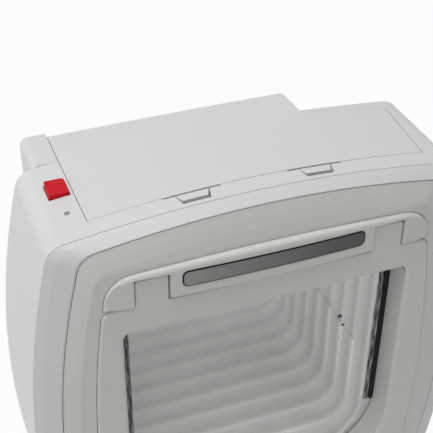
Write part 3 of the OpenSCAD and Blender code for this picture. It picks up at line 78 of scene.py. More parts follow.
# Materials
class Paint:
    """One node material, with helpers that keep its graph short."""

    def __init__(self, name, color, rough=0.5, metal=0.0, **numbers):
        self.material = bpy.data.materials.new(name)
        self.material.use_nodes = True
        self.tree = self.material.node_tree
        self.shader = self.tree.nodes["Principled BSDF"]
        self.shader.inputs["Base Color"].default_value = (*color, 1)
        self.shader.inputs["Roughness"].default_value = rough
        self.shader.inputs["Metallic"].default_value = metal
        for key, value in numbers.items():
            self.shader.inputs[key.replace("_", " ")].default_value = value
        self.color = color
        self.rough = rough
        self.place = self.node("ShaderNodeTexCoord").outputs["Object"]
        self.height = None

    def node(self, kind, **settings):
        made = self.tree.nodes.new(kind)
        for key, value in settings.items():
            setattr(made, key, value)
        return made

    def link(self, source, target):
        self.tree.links.new(source, target)

    def noise(self, per_metre, detail=3.0, squeeze=(1, 1, 1)):
        mapping = self.node("ShaderNodeMapping")
        mapping.inputs["Scale"].default_value = squeeze
        self.link(self.place, mapping.inputs["Vector"])
        made = self.node("ShaderNodeTexNoise")
        made.inputs["Scale"].default_value = per_metre
        made.inputs["Detail"].default_value = detail
        self.link(mapping.outputs["Vector"], made.inputs["Vector"])
        return made.outputs["Fac"]

    def span(self, source, low, high, to_low, to_high):
        made = self.node("ShaderNodeMapRange")
        for key, value in zip(("From Min", "From Max", "To Min", "To Max"), (low, high, to_low, to_high)):
            made.inputs[key].default_value = value
        self.link(source, made.inputs["Value"])
        return made.outputs["Result"]

    def mix(self, share, first, second):
        made = self.node("ShaderNodeMix", data_type="RGBA")
        self.link(share, made.inputs["Factor"])
        for socket, value in ((made.inputs[6], first), (made.inputs[7], second)):
            if isinstance(value, bpy.types.NodeSocket):
                self.link(value, socket)
            else:
                socket.default_value = (*value, 1)
        return made.outputs[2]

    def vary(self, per_metre, amount):
        """Faint uneven tone over the surface."""
        share = self.span(self.noise(per_metre), 0.3, 0.7, 0, 1)
        darker = tuple(c * (1 - amount) for c in self.color)
        self.link(self.mix(share, darker, self.color), self.shader.inputs["Base Color"])
        return self

    def uneven_gloss(self, per_metre, amount):
        value = self.span(self.noise(per_metre), 0.3, 0.7, self.rough - amount, self.rough + amount)
        self.link(value, self.shader.inputs["Roughness"])
        return self

    def bump(self, source, depth):
        made = self.node("ShaderNodeBump")
        made.inputs["Strength"].default_value = 1
        made.inputs["Distance"].default_value = depth
        self.link(source, made.inputs["Height"])
        if self.height is not None:
            self.link(self.height, made.inputs["Normal"])
        self.height = made.outputs["Normal"]
        self.link(self.height, self.shader.inputs["Normal"])
        return self

    def grain(self, per_metre, depth, squeeze=(1, 1, 1)):
        return self.bump(self.noise(per_metre, 2.0, squeeze), depth)


# Grain as bumps per metre and depth: spark-eroded surface, and slow waves of the moulding
SPARK_GRAIN, MOULD_WAVES = (2600, 0.00003), (45, 0.00008)


def moulded(name, color, rough=0.42, gloss=0.3):
    """Injection-moulded plastic with a fine spark-eroded grain."""
    paint = Paint(name, color, rough, Specular_IOR_Level=gloss)
    paint.vary(22, 0.02).uneven_gloss(60, 0.04)
    paint.grain(*SPARK_GRAIN).grain(*MOULD_WAVES)
    return paint


def metal(name, color, rough, stretch):
    paint = Paint(name, color, rough, 1.0)
    paint.vary(300, 0.08).uneven_gloss(500, 0.06)
    paint.grain(900, 0.00003, stretch)
    return paint


WHITE = (0.80, 0.80, 0.795)
# Front parts' white: a touch warmer than WHITE, and darker than it as painted shade on the front faces
FRONT_WHITE_SHADED = (0.77, 0.77, 0.74)
PILE_DARK = (0.035, 0.035, 0.033)
PILE_LIGHT = (0.55, 0.55, 0.53)
# Tunnel colours: the light one stands for lit, the dark one for shaded; the step ramp between them is painted
# light and shade, with a faint uneven tone added
TUNNEL_LIT_PALE = (0.90, 0.90, 0.89)
TUNNEL_SHADED_DARK = (0.62, 0.62, 0.61)
RIB_PITCH, RIB_START = 0.014, -0.0664
# Painted light and shade along one rib step of the tunnel: share of the lit tone from the step's edge to the
# next step's
STEP_PAINTED_SHADE = ((0.0, 1.0), (0.06, 1.0), (0.12, 0.35), (0.34, 0.0), (0.6, 0.45), (1.0, 0.75))
# Label's painted sheen: its lit tone, its shaded tone, and the span in X over which it fades from one to the
# other
LABEL_SHEEN_LIT = (0.37, 0.385, 0.36)
LABEL_SHEEN_SHADED = (0.085, 0.09, 0.08)
LABEL_SHEEN_SPAN = (-0.045, 0.03)
JACKET, JACKET_BAND = (0.03, 0.035, 0.05), (0.45, 0.3, 0.12)


def clear_plastic():
    """Clear moulded sheet with a faint haze. Its gloss is the coat's: with alpha below one, a bending index
    would show a second, shifted view of what is behind."""
    paint = Paint("clear_flap", (0.98, 0.985, 0.97), 0.06, Transmission_Weight=1.0, IOR=1.01, Alpha=0.5,
                  Coat_Weight=0.3)
    paint.uneven_gloss(18, 0.02)
    paint.grain(14, 0.0002)
    return paint


def brushed_label_painted_sheen():
    """Bare grey plate with a painted sheen, lighter towards its left end, and a fine lengthwise grain."""
    paint = Paint("label_grey", LABEL_SHEEN_SHADED, 0.42, Specular_IOR_Level=0.4)
    parts = paint.node("ShaderNodeSeparateXYZ")
    paint.link(paint.place, parts.inputs[0])
    # Painted sheen, fading from the lit tone at the left end to the shaded tone at the right
    across = paint.span(parts.outputs["X"], *LABEL_SHEEN_SPAN, 0, 1)
    tone = paint.mix(across, LABEL_SHEEN_LIT, LABEL_SHEEN_SHADED)
    streak = paint.span(paint.noise(900, 2.0, (0.06, 1, 1)), 0.35, 0.65, 0.9, 1.0)
    shade = paint.node("ShaderNodeVectorMath", operation="SCALE")
    paint.link(tone, shade.inputs[0])
    paint.link(streak, shade.inputs["Scale"])
    paint.link(shade.outputs[0], paint.shader.inputs["Base Color"])
    paint.grain(2400, 0.00002)
    return paint


def brush_pile():
    """Short bristles in dark and pale streaks."""
    paint = Paint("brush_pile", PILE_LIGHT, 0.8, Sheen_Weight=0.3)
    streak = paint.span(paint.noise(1700, 3.0, (1, 1, 0.07)), 0.44, 0.56, 0, 1)
    paint.link(paint.mix(streak, PILE_DARK, PILE_LIGHT), paint.shader.inputs["Base Color"])
    paint.bump(streak, 0.0001)
    return paint


def ribbed_plastic_painted_shade():
    """Moulded tunnel wall with the light and shade of its rib steps painted along Y: bright at each step's
    edge, painted shade falling towards the next, plus a faint uneven tone.
    """
    paint = Paint("tunnel_plastic", TUNNEL_LIT_PALE, 0.38, Specular_IOR_Level=0.4)
    parts = paint.node("ShaderNodeSeparateXYZ")
    paint.link(paint.place, parts.inputs[0])
    count = paint.node("ShaderNodeMath", operation="MULTIPLY_ADD")
    count.inputs[1].default_value = 1 / RIB_PITCH
    count.inputs[2].default_value = -RIB_START / RIB_PITCH
    paint.link(parts.outputs["Y"], count.inputs[0])
    share = paint.node("ShaderNodeMath", operation="FRACT")
    paint.link(count.outputs[0], share.inputs[0])
    # Painted shade: each rib step's edge bright, darker towards the next step
    step_shade_ramp = paint.node("ShaderNodeValToRGB")
    ramp = step_shade_ramp.color_ramp
    for element, (place, tone) in zip(ramp.elements, (STEP_PAINTED_SHADE[0], STEP_PAINTED_SHADE[-1])):
        element.position, element.color = place, (tone, tone, tone, 1)
    for place, tone in STEP_PAINTED_SHADE[1:-1]:
        ramp.elements.new(place).color = (tone, tone, tone, 1)
    paint.link(share.outputs[0], step_shade_ramp.inputs[0])
    cloud = paint.span(paint.noise(26, 2.0), 0.3, 0.7, 0.0, 0.35)
    painted_shade_and_tone = paint.node("ShaderNodeMath", operation="ADD", use_clamp=True)
    paint.link(step_shade_ramp.outputs[0], painted_shade_and_tone.inputs[0])
    paint.link(cloud, painted_shade_and_tone.inputs[1])
    # Blends the painted step shade and the uneven tone between the shaded and the lit tunnel colour
    paint.link(paint.mix(painted_shade_and_tone.outputs[0], TUNNEL_SHADED_DARK, TUNNEL_LIT_PALE), paint.shader.inputs["Base Color"])
    paint.uneven_gloss(30, 0.06)
    paint.grain(2600, 0.00002).grain(40, 0.00025)
    return paint


def circuit(name, color):
    """Lacquered board with raised, lighter tracks."""
    paint = Paint(name, color, 0.35, Coat_Weight=0.4)
    wave = paint.node("ShaderNodeTexWave", bands_direction="Z")
    wave.inputs["Scale"].default_value = 260
    wave.inputs["Distortion"].default_value = 7
    paint.link(paint.place, wave.inputs["Vector"])
    track = paint.span(wave.outputs["Fac"], 0.62, 0.68, 0, 1)
    lighter = tuple(min(1, c * 1.9 + 0.01) for c in color)
    paint.link(paint.mix(track, color, lighter), paint.shader.inputs["Base Color"])
    paint.bump(track, 0.00003)
    return paint


def winding():
    """Copper with the fine relief of its turns."""
    paint = Paint("copper", (0.62, 0.27, 0.12), 0.3, 0.9)
    wave = paint.node("ShaderNodeTexWave", bands_direction="Y")
    wave.inputs["Scale"].default_value = 480
    paint.link(paint.place, wave.inputs["Vector"])
    paint.bump(wave.outputs["Fac"], 0.0002)
    return paint


def foam():
    paint = Paint("foam", (0.055, 0.055, 0.055), 0.95)
    cells = paint.node("ShaderNodeTexVoronoi")
    cells.inputs["Scale"].default_value = 900
    paint.link(paint.place, cells.inputs["Vector"])
    paint.bump(cells.outputs["Distance"], 0.0004)
    return paint


def lens():
    paint = Paint("lens_grey", (0.42, 0.42, 0.42), 0.25, Transmission_Weight=0.25, IOR=1.49)
    paint.vary(900, 0.15)
    paint.grain(1800, 0.00004)
    return paint


def cell_sleeve():
    paint = Paint("cell_jacket", JACKET, 0.22, Coat_Weight=0.5)
    wave = paint.node("ShaderNodeTexWave", bands_direction="X")
    wave.inputs["Scale"].default_value = 6.2
    paint.link(paint.place, wave.inputs["Vector"])
    band = paint.span(wave.outputs["Fac"], 0.86, 0.9, 0, 1)
    paint.link(paint.mix(band, JACKET, JACKET_BAND), paint.shader.inputs["Base Color"])
    paint.grain(700, 0.00002)
    return paint


def make_materials():
    made = {
        "white_shell": moulded("white_shell", WHITE),
        "white_panel": moulded("white_panel", FRONT_WHITE_SHADED, 0.45),
        "white_frame": moulded("white_frame", FRONT_WHITE_SHADED, 0.4),
        "white_lid": moulded("white_lid", WHITE, 0.4),
        "label_grey": brushed_label_painted_sheen(),
        "steel": metal("steel", (0.55, 0.55, 0.55), 0.3, (1, 8, 8)),
        "red_button": moulded("red_button", (0.66, 0.004, 0.018), 0.4, 0.15),
        "black_plastic": moulded("black_plastic", (0.025, 0.025, 0.025), 0.5),
        "board_green": circuit("board_green", (0.012, 0.10, 0.04)),
        "lens_grey": lens(),
        "clear_flap": clear_plastic(),
        "bush_plastic": moulded("bush_plastic", (0.55, 0.55, 0.53), 0.45),
        "magnet": metal("magnet", (0.06, 0.06, 0.065), 0.55, (1, 1, 1)),
        "seal_rubber": moulded("seal_rubber", (0.012, 0.012, 0.012), 0.6, 0.25),
        "brush_pile": brush_pile(),
        "tunnel_plastic": ribbed_plastic_painted_shade(),
        "copper": winding(),
        "cell_jacket": cell_sleeve(),
        "brass": metal("brass", (0.62, 0.44, 0.16), 0.3, (1, 1, 6)),
        "dial_grey": moulded("dial_grey", (0.42, 0.42, 0.41), 0.4),
        "foam": foam(),
        "lead_red": moulded("lead_red", (0.38, 0.02, 0.02), 0.4, 0.4),
    }
    return {name: paint.material for name, paint in made.items()}


MATERIALS = make_materials()
SLOT_OF = {row["node"]: row["material_slot"] for row in frame["record"]["subparts"]}

SMOOTH_ANGLE = math.radians(32)


def sharp_by_angle(obj):
    """Marks the mesh's hard edges, so that the smooth shading stops at them."""
    shape = bmesh.new()
    shape.from_mesh(obj.data)
    hard = [not (len(e.link_faces) == 2 and e.calc_face_angle(0) < SMOOTH_ANGLE) for e in shape.edges]
    shape.free()
    obj.data.attributes.new("sharp_edge", "BOOLEAN", "EDGE").data.foreach_set("value", hard)


# Second material of a piece, for its faces with material index 1
EXTRA_SLOT = {"label": "seal_rubber"}


def dress(obj, slot, second=None):
    if not second:
        obj.data.materials.clear()
    obj.data.materials.append(MATERIALS[slot])
    if second:
        obj.data.materials.append(MATERIALS[second])
    obj.data.polygons.foreach_set("use_smooth", [True] * len(obj.data.polygons))
    sharp_by_angle(obj)


for node_name, node_object in NODES.items():
    dress(node_object, SLOT_OF[node_name])


def add_piece(name, shape, body, *nodes):
    """Turns a bmesh into a piece that stands for CAD nodes and rides with their body."""
    bmesh.ops.remove_doubles(shape, verts=shape.verts[:], dist=1e-7)
    bmesh.ops.recalc_face_normals(shape, faces=shape.faces[:])
    mesh = bpy.data.meshes.new(name)
    shape.to_mesh(mesh)
    shape.free()
    piece = bpy.data.objects.new(name, mesh)
    bpy.context.scene.collection.objects.link(piece)
    dress(piece, SLOT_OF[nodes[0]], EXTRA_SLOT.get(name))
    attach(piece, body)
    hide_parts(*nodes)
    return piece


# Outlines in the door's plane, in millimetres, the same as in the CAD model
HALF_W = 112.5
FRAME_HW = 85.0
JOINT_Z = 86.6
SIDE_TAPER = 6.5
SHOULDER_R = 5.5
BRIDGE_TOP = 106.4
BROW_R, BROW_SAG = 14.0, 2.1
TAB = (49.0, 64.0, 100.4)
OPEN_HW, OPEN_TOP, OPEN_LOW = 70.0, 72.0, -64.0
OPEN_R, OPEN_RT = 38.0, 4.0
FRAME_Y, FRAME_BOW = -99.5, 1.4
BRIDGE_Y, BRIDGE_BOW = -102.3, 2.8
SKIRT_Y = -96.35
LABEL = (43.2, 98.1, 4.05, 2.6)
DIAL_Z, DIAL_HOLE, DIAL_DEPTH = -80.0, 10.8, 1.5
# Radii of the surround's front edges: joint line and dial recess, outside, and way through
JOINT_EDGE, SIDE_EDGE, WAY_EDGE = 0.4, 1.2, 1.8
# Label plate: depth behind the bridge's face, height over it, and width of the dark edge
LABEL_SEAT, LABEL_PROUD, LABEL_RIM = 0.45, 0.3, 0.42


def arc(x, z, r, start, end, steps):
    turns = [math.radians(start + (end - start) * i / steps) for i in range(steps + 1)]
    return [(x + r * math.cos(t), z + r * math.sin(t)) for t in turns]


def side_x(z):
    return FRAME_HW + 0.1 - SIDE_TAPER * (z / JOINT_Z) ** 2


def brow(top):
    """Upper right part of the surround's outline, from its side to the middle."""
    x, z = side_x(JOINT_Z + SHOULDER_R) - BROW_R, top - BROW_SAG - BROW_R
    flat = [(x * (1 - i / 6), top - BROW_SAG * (1 - i / 6) ** 2) for i in range(1, 7)]
    return arc(x, z, BROW_R, 4, 87, 10) + flat


def mirrored(half):
    """Whole outline from its right half, which runs from the bottom to the top."""
    return half + [(-x, z) for x, z in reversed(half) if abs(x) > 1e-6]


def rounded_box(x, low, high, low_r, high_r, steps=8):
    return (arc(-x + low_r, low + low_r, low_r, 180, 270, steps)
            + arc(x - low_r, low + low_r, low_r, 270, 360, steps)
            + arc(x - high_r, high - high_r, high_r, 0, 90, steps)
            + arc(-x + high_r, high - high_r, high_r, 90, 180, steps))


def frame_outline():
    lower = [(x, -z) for x, z in reversed(brow(BRIDGE_TOP))]
    sides = [(side_x(z), z) for z in [-JOINT_Z + i * (2 * JOINT_Z - SHOULDER_R - 1) / 12 for i in range(13)]]
    z = JOINT_Z - SHOULDER_R
    shoulder = arc(side_x(z) - SHOULDER_R, z, SHOULDER_R, 0, 90, 6)
    near, far, top = TAB
    tab = ([(far, JOINT_Z)] + arc(far - 1.2, top - 1.2, 1.2, 0, 90, 4)
           + arc(near + 1.2, top - 1.2, 1.2, 90, 180, 4) + [(near, JOINT_Z)])
    return mirrored(lower + sides + shoulder + tab + [(0, JOINT_Z)])


def bridge_outline():
    near, far, top = TAB
    low, notch = JOINT_Z + 1.0, top + 1.7
    half = ([(0, JOINT_Z + 2.4), (near - 0.6, JOINT_Z + 2.4), (near - 0.6, notch), (far + 0.6, notch),
             (far + 0.6, low), (side_x(JOINT_Z) - 0.2, low)] + brow(BRIDGE_TOP))
    return mirrored(half)


def spread(points, longest):
    """The same closed outline with no side longer than that."""
    out = []
    for (x0, z0), (x1, z1) in zip(points, points[1:] + points[:1]):
        n = max(1, math.ceil(math.hypot(x1 - x0, z1 - z0) / longest))
        out += [(x0 + (x1 - x0) * i / n, z0 + (z1 - z0) * i / n) for i in range(n)]
    return out


def inset(points, by):
    """Moves a closed outline to its left by a distance, or by one distance for each point."""
    out = []
    n = len(points)
    for i, (x, z) in enumerate(points):
        before, after = points[i - 1], points[(i + 1) % n]
        a = Vector((x - before[0], z - before[1])).normalized()
        b = Vector((after[0] - x, after[1] - z)).normalized()
        left = Vector((-a.y - b.y, a.x + b.x))
        left.normalize()
        reach = 1 / max(0.5, left.dot(Vector((-a.y, a.x))))
        d = by[i] if isinstance(by, list) else by
        out.append((x + left.x * d * reach, z + left.y * d * reach))
    return out


ROUND_STEPS = 4
BEND_PITCH = 8.0
BENT_DEPTH = 2.6


def soft_plate(loops, front, bow, half):
    """Plate with rounded front edges, bowed in plan. Each loop is (outline, radius, back plane, closed)."""
    shape = bmesh.new()
    caps = []
    for outline, radius, back, closed in loops:
        rings = []
        n = len(outline)
        radii = radius if isinstance(radius, list) else [radius] * n
        levels = [None] + [math.radians(90 * k / ROUND_STEPS) for k in range(ROUND_STEPS + 1)]
        for t in levels:
            if t is None:
                flat, depth = outline, [back] * n
            else:
                flat = inset(outline, [r * (1 - math.cos(t)) for r in radii])
                depth = [front + r * (1 - math.sin(t)) for r in radii]
            rings.append([shape.verts.new((x, y, z)) for (x, z), y in zip(flat, depth)])
        for low, high in zip(rings, rings[1:]):
            for i in range(n):
                j = (i + 1) % n
                shape.faces.new((low[i], low[j], high[j], high[i]))
        caps += [shape.edges.get((rings[-1][i], rings[-1][(i + 1) % n])) for i in range(n)]
        if closed:
            shape.faces.new(rings[0])
    bmesh.ops.triangle_fill(shape, edges=caps, use_beauty=True, use_dissolve=False)
    x = -half
    while x < half:
        x += BEND_PITCH
        bmesh.ops.bisect_plane(shape, geom=shape.verts[:] + shape.edges[:] + shape.faces[:], dist=1e-5,
                               plane_co=(x, 0, 0), plane_no=(1, 0, 0))
    for v in shape.verts:
        if v.co.y < front + BENT_DEPTH:
            v.co.y += bow * (v.co.x / half) ** 2
    for v in shape.verts:
        v.co *= MM
    return shape


def even_shading(piece):
    """Keeps flat faces flat beside their rounded edges."""
    even = piece.modifiers.new("even", "WEIGHTED_NORMAL")
    even.keep_sharp = True
    even.weight = 100


def body_of_node(name):
    return next(body for body, nodes in frame["record"]["behaviour"]["bodies"].items() if name in nodes)


REVEAL_BACK, REVEAL_END, REVEAL_T, REVEAL_TOP = -96.7, -84.5, 2.0, 68.0
# Slots in the lower wall, as (left, right, front, back): the lock bolt's, then the dial stops'
WALL_SLOTS = ((-33.4, -26.6, -94.6, -88.8), (-20.9, 20.9, -88.7, -85.7))
SLOT_TOP = -60.0
SHAFT_HOLE = 3.4
NEAR = 0.1


def make_surround():
    """Face plate round the way through, with its two tabs and the dial's recess."""
    outline = spread(frame_outline(), 9)
    way = spread(rounded_box(OPEN_HW, OPEN_LOW, OPEN_TOP, OPEN_R, OPEN_RT, 10), 9)[::-1]
    dial = arc(0, DIAL_Z, DIAL_HOLE, 360, 15, 23)
    edge = [JOINT_EDGE if z > JOINT_Z - 1 and abs(x) < TAB[1] + 1 else SIDE_EDGE for x, z in outline]
    shape = soft_plate([(outline, edge, SKIRT_Y, False), (way, WAY_EDGE, REVEAL_BACK, False),
                        (dial, JOINT_EDGE, FRAME_Y + DIAL_DEPTH, False)], FRAME_Y, FRAME_BOW, HALF_W)
    floor_dial_recess(shape)
    return shape


def floor_dial_recess(shape):
    """Closes the dial's recess down to the hole for its shaft."""
    def turn_of(v):
        return math.atan2(v.co.z - DIAL_Z * MM, v.co.x)

    rim = [v for v in shape.verts if v.co.y > (FRAME_Y + DIAL_DEPTH - NEAR) * MM
           and math.hypot(v.co.x, v.co.z - DIAL_Z * MM) < (DIAL_HOLE + 2 * NEAR) * MM]
    rim.sort(key=turn_of)
    hole = []
    for v in rim:
        turn = turn_of(v)
        x, z = SHAFT_HOLE * math.cos(turn), DIAL_Z + SHAFT_HOLE * math.sin(turn)
        hole.append(shape.verts.new((x * MM, v.co.y, z * MM)))
    for i in range(len(rim)):
        shape.faces.new((rim[i - 1], rim[i], hole[i], hole[i - 1]))


def cut_slot(shape, left, right, front, back):
    """Opens the lower wall from its inner to its outer face, with closed sides."""
    for value, axis in ((left, 0), (right, 0), (front, 1), (back, 1)):
        place, normal = [0, 0, 0], [0, 0, 0]
        place[axis], normal[axis] = value * MM, 1
        bmesh.ops.bisect_plane(shape, geom=shape.verts[:] + shape.edges[:] + shape.faces[:], dist=1e-7,
                               plane_co=place, plane_no=normal)
    gone = []
    for face in shape.faces:
        x, y, z = face.calc_center_median() / MM
        if left < x < right and front < y < back and z < SLOT_TOP:
            gone.append(face)
    edges = {e for face in gone for e in face.edges}
    bmesh.ops.delete(shape, geom=gone, context="FACES_ONLY")
    rims = [e for e in edges if e.is_valid and len(e.link_faces) == 1]
    bmesh.ops.delete(shape, geom=[e for e in edges if e.is_valid and not e.link_faces], context="EDGES")
    bmesh.ops.bridge_loops(shape, edges=rims)


def make_reveal():
    """Walls of the way through, behind the surround's face and open at the top for the hinge."""
    inner = spread(rounded_box(OPEN_HW, OPEN_LOW, OPEN_TOP, OPEN_R, OPEN_RT, 10), 6)
    outer = inset(inner, -REVEAL_T)
    keep = [z <= REVEAL_TOP for _, z in inner]
    start = next(i for i in range(len(inner)) if keep[i] and not keep[i - 1])
    turned = [(start + k) % len(inner) for k in range(len(inner))]
    order = [i for i in turned if keep[i]]
    shape = bmesh.new()
    rows = []
    for i in order:
        (xi, zi), (xo, zo) = inner[i], outer[i]
        path = [(xi, REVEAL_BACK - NEAR, zi), (xi, REVEAL_END - 0.5, zi), (xi, REVEAL_END - 0.15, zi),
                ((xi + xo) / 2, REVEAL_END, (zi + zo) / 2), (xo, REVEAL_END - 0.4, zo),
                (xo, REVEAL_BACK - NEAR, zo)]
        rows.append([shape.verts.new(tuple(c * MM for c in p)) for p in path])
    for a, b in zip(rows, rows[1:]):
        for k in range(len(a) - 1):
            shape.faces.new((a[k], a[k + 1], b[k + 1], b[k]))
    for row in (rows[0], rows[-1]):
        shape.faces.new(row)
    for slot in WALL_SLOTS:
        cut_slot(shape, *slot)
    return shape


def make_bridge():
    """Cover of the flap's hinge, with a recess for the label plate."""
    outline = spread(bridge_outline(), 7)
    half_w, mid, half_h, r = LABEL
    gap = 0.25
    slot = spread(rounded_box(half_w + gap, mid - half_h - gap, mid + half_h + gap,
                              r + gap, r + gap, 5), 9)[::-1]
    edge = [0.35 if z < TAB[2] + 2 and abs(x) < side_x(JOINT_Z) - 1 else 2.2 for x, z in outline]
    return soft_plate([(outline, edge, SKIRT_Y, False), (slot, 0.2, BRIDGE_Y + 1.2, True)],
                      BRIDGE_Y, BRIDGE_BOW, side_x(JOINT_Z))


def make_label():
    """Bare plate with a thin dark edge, bowed like the bridge."""
    half_w, mid, half_h, r = LABEL
    outline = spread(rounded_box(half_w, mid - half_h, mid + half_h, r, r, 5), 9)
    face = inset(outline, LABEL_RIM)
    seat, half = BRIDGE_Y + LABEL_SEAT, side_x(JOINT_Z)
    shape = soft_plate([(outline, 0.08, seat, False), (face[::-1], 0.0, BRIDGE_Y - 0.25, False)],
                       BRIDGE_Y - LABEL_PROUD, BRIDGE_BOW, half)
    inner = soft_plate([(face, 0.05, seat, False)], BRIDGE_Y - 0.32, BRIDGE_BOW, half)
    mesh = bpy.data.meshes.new("label_face")
    inner.to_mesh(mesh)
    inner.free()
    for f in shape.faces:
        f.material_index = 1
    shape.from_mesh(mesh)
    bpy.data.meshes.remove(mesh)
    return shape


PLATES = (("surround", make_surround, "flap_frame"), ("way_walls", make_reveal, "flap_frame"),
          ("bridge", make_bridge, "hinge_bridge"), ("label", make_label, "label_plate"))

for piece_name, maker, node in PLATES:
    even_shading(add_piece(piece_name, maker(), body_of_node(node), node))


def tube(shape, path, profile, closed=True):
    """Sweeps a profile of (outwards, along Y) points round a closed path in the door's plane."""
    outwards = inset(path, -1.0)
    rows = []
    for (x, z), (xo, zo) in zip(path, outwards):
        dx, dz = xo - x, zo - z
        rows.append([shape.verts.new(((x + dx * u) * MM, v * MM, (z + dz * u) * MM)) for u, v in profile])
    for a, b in zip(rows, rows[1:] + rows[:1]):
        for k in range(len(profile)):
            j = (k + 1) % len(profile)
            shape.faces.new((a[k], a[j], b[j], b[k]))


TUNNEL_OW, TUNNEL_LOW, TUNNEL_TOP, TUNNEL_R, ROOF_R = 67.4, -64.4, 78.9, 16.4, 4.0


def ring_path(grow, steps=8, longest=12):
    return spread(rounded_box(TUNNEL_OW + grow, TUNNEL_LOW - grow, TUNNEL_TOP + grow,
                              TUNNEL_R + grow, ROOF_R + grow, steps), longest)


# Foam strip: half its width, its depth, and its middle's distance from the tunnel
FOAM_HALF, FOAM_DEPTH, FOAM_OUT = 2.3, 1.5, 1.6 + 2.5


def make_foam():
    """Closed foam strip with a soft crown, a little uneven where it meets the door."""
    shape = bmesh.new()
    low, high, depth = -FOAM_HALF, FOAM_HALF, FOAM_DEPTH
    profile = [(low, -depth), (low, -0.55), (low + 0.5, -0.18), (0.5 * low, -0.04), (0, 0),
               (0.5 * high, -0.04), (high - 0.5, -0.18), (high, -0.55), (high, -depth)]
    tube(shape, ring_path(FOAM_OUT, 10, 3), profile)
    for v in shape.verts:
        if v.co.y > -0.0006:
            wave = math.sin(v.co.x * 610 + 2 * math.sin(v.co.z * 330)) + math.sin(v.co.z * 470 + 1)
            v.co.y -= 0.00003 * (2 + wave)
    return shape


# Winding: its two ends along Y, its foot's distance from the tunnel, its thickness and its turns
COIL = (-71.8 + 1.5, -71.8 + 14 - 1.5, 1.8, 2.4)
COIL_TURNS = 18


def make_winding():
    """Outer layer of the wound coil, turn beside turn over a core of the same material."""
    shape = bmesh.new()
    start, end, foot, thick = COIL
    pitch = (end - start) / COIL_TURNS
    r = pitch / 2
    mid = foot + thick - r - 0.05
    core = [(foot + 0.02, start + 0.05), (foot + 0.02, end - 0.05), (mid, end - 0.05), (mid, start + 0.05)]
    tube(shape, ring_path(0), core)
    for i in range(COIL_TURNS):
        y = start + (i + 0.5) * pitch
        ring = [(mid + 0.98 * r * math.cos(t * math.pi / 4), y + 0.98 * r * math.sin(t * math.pi / 4))
                for t in range(8)]
        tube(shape, ring_path(0), ring)
    return shape


# Brush strips: tips and roots across, front and back, lower and upper end
BRUSH = (64.1, 67.0, -84.2, -83.4, -31.0, 68.7)
BRISTLES, BRISTLE_ROWS = 300, 3


def make_brushes():
    """Strips of short bristles beside the flap, rooted at the seals."""
    shape = bmesh.new()
    near, far, front, back, low, high = BRUSH
    for side in (-1, 1):
        spine = [(far - 0.5, front + 0.05), (far, front + 0.05), (far, back), (far - 0.5, back)]
        ends = [[shape.verts.new((side * x * MM, y * MM, z * MM)) for x, y in spine] for z in (low, high)]
        for k in range(4):
            j = (k + 1) % 4
            shape.faces.new((ends[0][k], ends[0][j], ends[1][j], ends[1][k]))
        for end in ends:
            shape.faces.new(end)
        for i in range(BRISTLES):
            for row in range(BRISTLE_ROWS):
                lean = 0.25 * math.sin(i * 12.9898 + row * 78.233)
                z = low + 0.3 + (high - low - 0.6) * (i + 0.33 * row) / BRISTLES
                y = front + 0.16 + 0.22 * row
                tip = near + 0.35 * abs(math.sin(i * 3.7 + row * 1.9))
                z_tip = min(high - 0.15, max(low + 0.15, z + lean))
                root = [shape.verts.new((side * (far - 0.4) * MM, (y + dy) * MM, (z + dz) * MM))
                        for dy, dz in ((-0.12, -0.1), (0.12, -0.1), (0, 0.13))]
                top = [shape.verts.new((side * tip * MM, (y + dy) * MM, (z_tip + dz) * MM))
                       for dy, dz in ((-0.07, -0.06), (0.07, -0.06), (0, 0.08))]
                for k in range(3):
                    j = (k + 1) % 3
                    shape.faces.new((root[k], root[j], top[j], top[k]))
                shape.faces.new(top)
    return shape


foam_ring = add_piece("foam_ring", make_foam(), body_of_node("foam_seal"), "foam_seal")
add_piece("coil_turns", make_winding(), body_of_node("antenna_coil"), "antenna_coil")
add_piece("brush_strips", make_brushes(), body_of_node("side_brushes"), "side_brushes")


# Studio
FLOOR_Z = -0.127
FLOOR_HALF = 3.0
FLOOR_GREY = 0.85
FLOOR_WHITE = 0.95
WORLD_STRENGTH = 0.21
# Lamps as place, size and watts, all turned to the frame's origin
LAMPS = {
    "top": ((-0.30, -0.10, 1.35), (1.1, 0.8), 10.2),
    "left": ((-1.40, 0.35, 0.50), (1.0, 1.0), 3.4),
    "front": ((-1.0, -1.2, 0.45), (0.9, 0.9), 1.9),
}


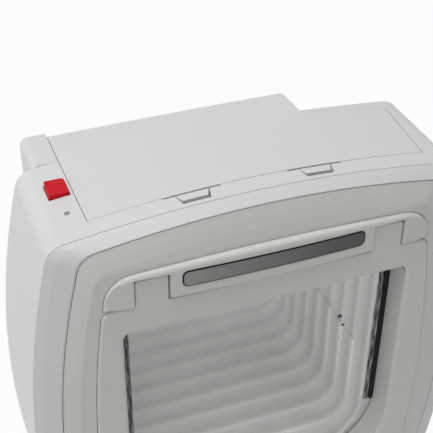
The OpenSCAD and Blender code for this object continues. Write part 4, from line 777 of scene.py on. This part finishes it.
def camera_white(tree, shader, target, share=1.0):
    """White to the camera, to gloss and through glass; lit normally for everything else."""
    path = tree.nodes.new("ShaderNodeLightPath")
    is_world = target.node.bl_idname.endswith("World")
    white = tree.nodes.new("ShaderNodeBackground" if is_world else "ShaderNodeEmission")
    white.inputs["Color"].default_value = (1, 1, 1, 1)
    white.inputs["Strength"].default_value = 1
    seen = path.outputs["Is Camera Ray"]
    for ray in ("Is Transmission Ray", "Is Glossy Ray"):
        either = tree.nodes.new("ShaderNodeMath")
        either.operation = "MAXIMUM"
        tree.links.new(seen, either.inputs[0])
        tree.links.new(path.outputs[ray], either.inputs[1])
        seen = either.outputs[0]
    part = tree.nodes.new("ShaderNodeMath")
    part.operation = "MULTIPLY"
    part.inputs[1].default_value = share
    tree.links.new(seen, part.inputs[0])
    blend = tree.nodes.new("ShaderNodeMixShader")
    tree.links.new(part.outputs[0], blend.inputs["Fac"])
    tree.links.new(shader, blend.inputs[1])
    tree.links.new(white.outputs[0], blend.inputs[2])
    tree.links.new(blend.outputs[0], target)


def make_world():
    world = bpy.data.worlds.new("studio")
    bpy.context.scene.world = world
    world.use_nodes = True
    tree = world.node_tree
    sky = tree.nodes["Background"]
    sky.inputs["Color"].default_value = (1, 1, 1, 1)
    sky.inputs["Strength"].default_value = WORLD_STRENGTH
    camera_white(tree, sky.outputs[0], tree.nodes["World Output"].inputs["Surface"])


def make_lamp(name, at, size, watts):
    data = bpy.data.lights.new(name, "AREA")
    data.shape = "RECTANGLE"
    data.size, data.size_y = size
    data.energy = watts
    lamp = bpy.data.objects.new(name, data)
    bpy.context.scene.collection.objects.link(lamp)
    lamp.location = at
    lamp.rotation_mode = "QUATERNION"
    lamp.rotation_quaternion = (-Vector(at)).to_track_quat("-Z", "Y")


def make_floor():
    mesh = bpy.data.meshes.new("floor")
    corner_signs = ((-1, -1), (1, -1), (1, 1), (-1, 1))
    mesh.from_pydata([(x * FLOOR_HALF, y * FLOOR_HALF, FLOOR_Z) for x, y in corner_signs], [], [(0, 1, 2, 3)])
    made = bpy.data.objects.new("floor", mesh)
    bpy.context.scene.collection.objects.link(made)
    paint = bpy.data.materials.new("floor")
    paint.use_nodes = True
    tree = paint.node_tree
    shader = tree.nodes["Principled BSDF"]
    shader.inputs["Base Color"].default_value = (FLOOR_GREY, FLOOR_GREY, FLOOR_GREY, 1)
    shader.inputs["Roughness"].default_value = 0.9
    camera_white(tree, shader.outputs[0], tree.nodes["Material Output"].inputs["Surface"], FLOOR_WHITE)
    mesh.materials.append(paint)
    return made


make_camera()
make_world()
for lamp_name, (place, lamp_size, power) in LAMPS.items():
    make_lamp(lamp_name, place, lamp_size, power)
floor = make_floor()

bpy.context.scene.view_settings.view_transform = "Standard"
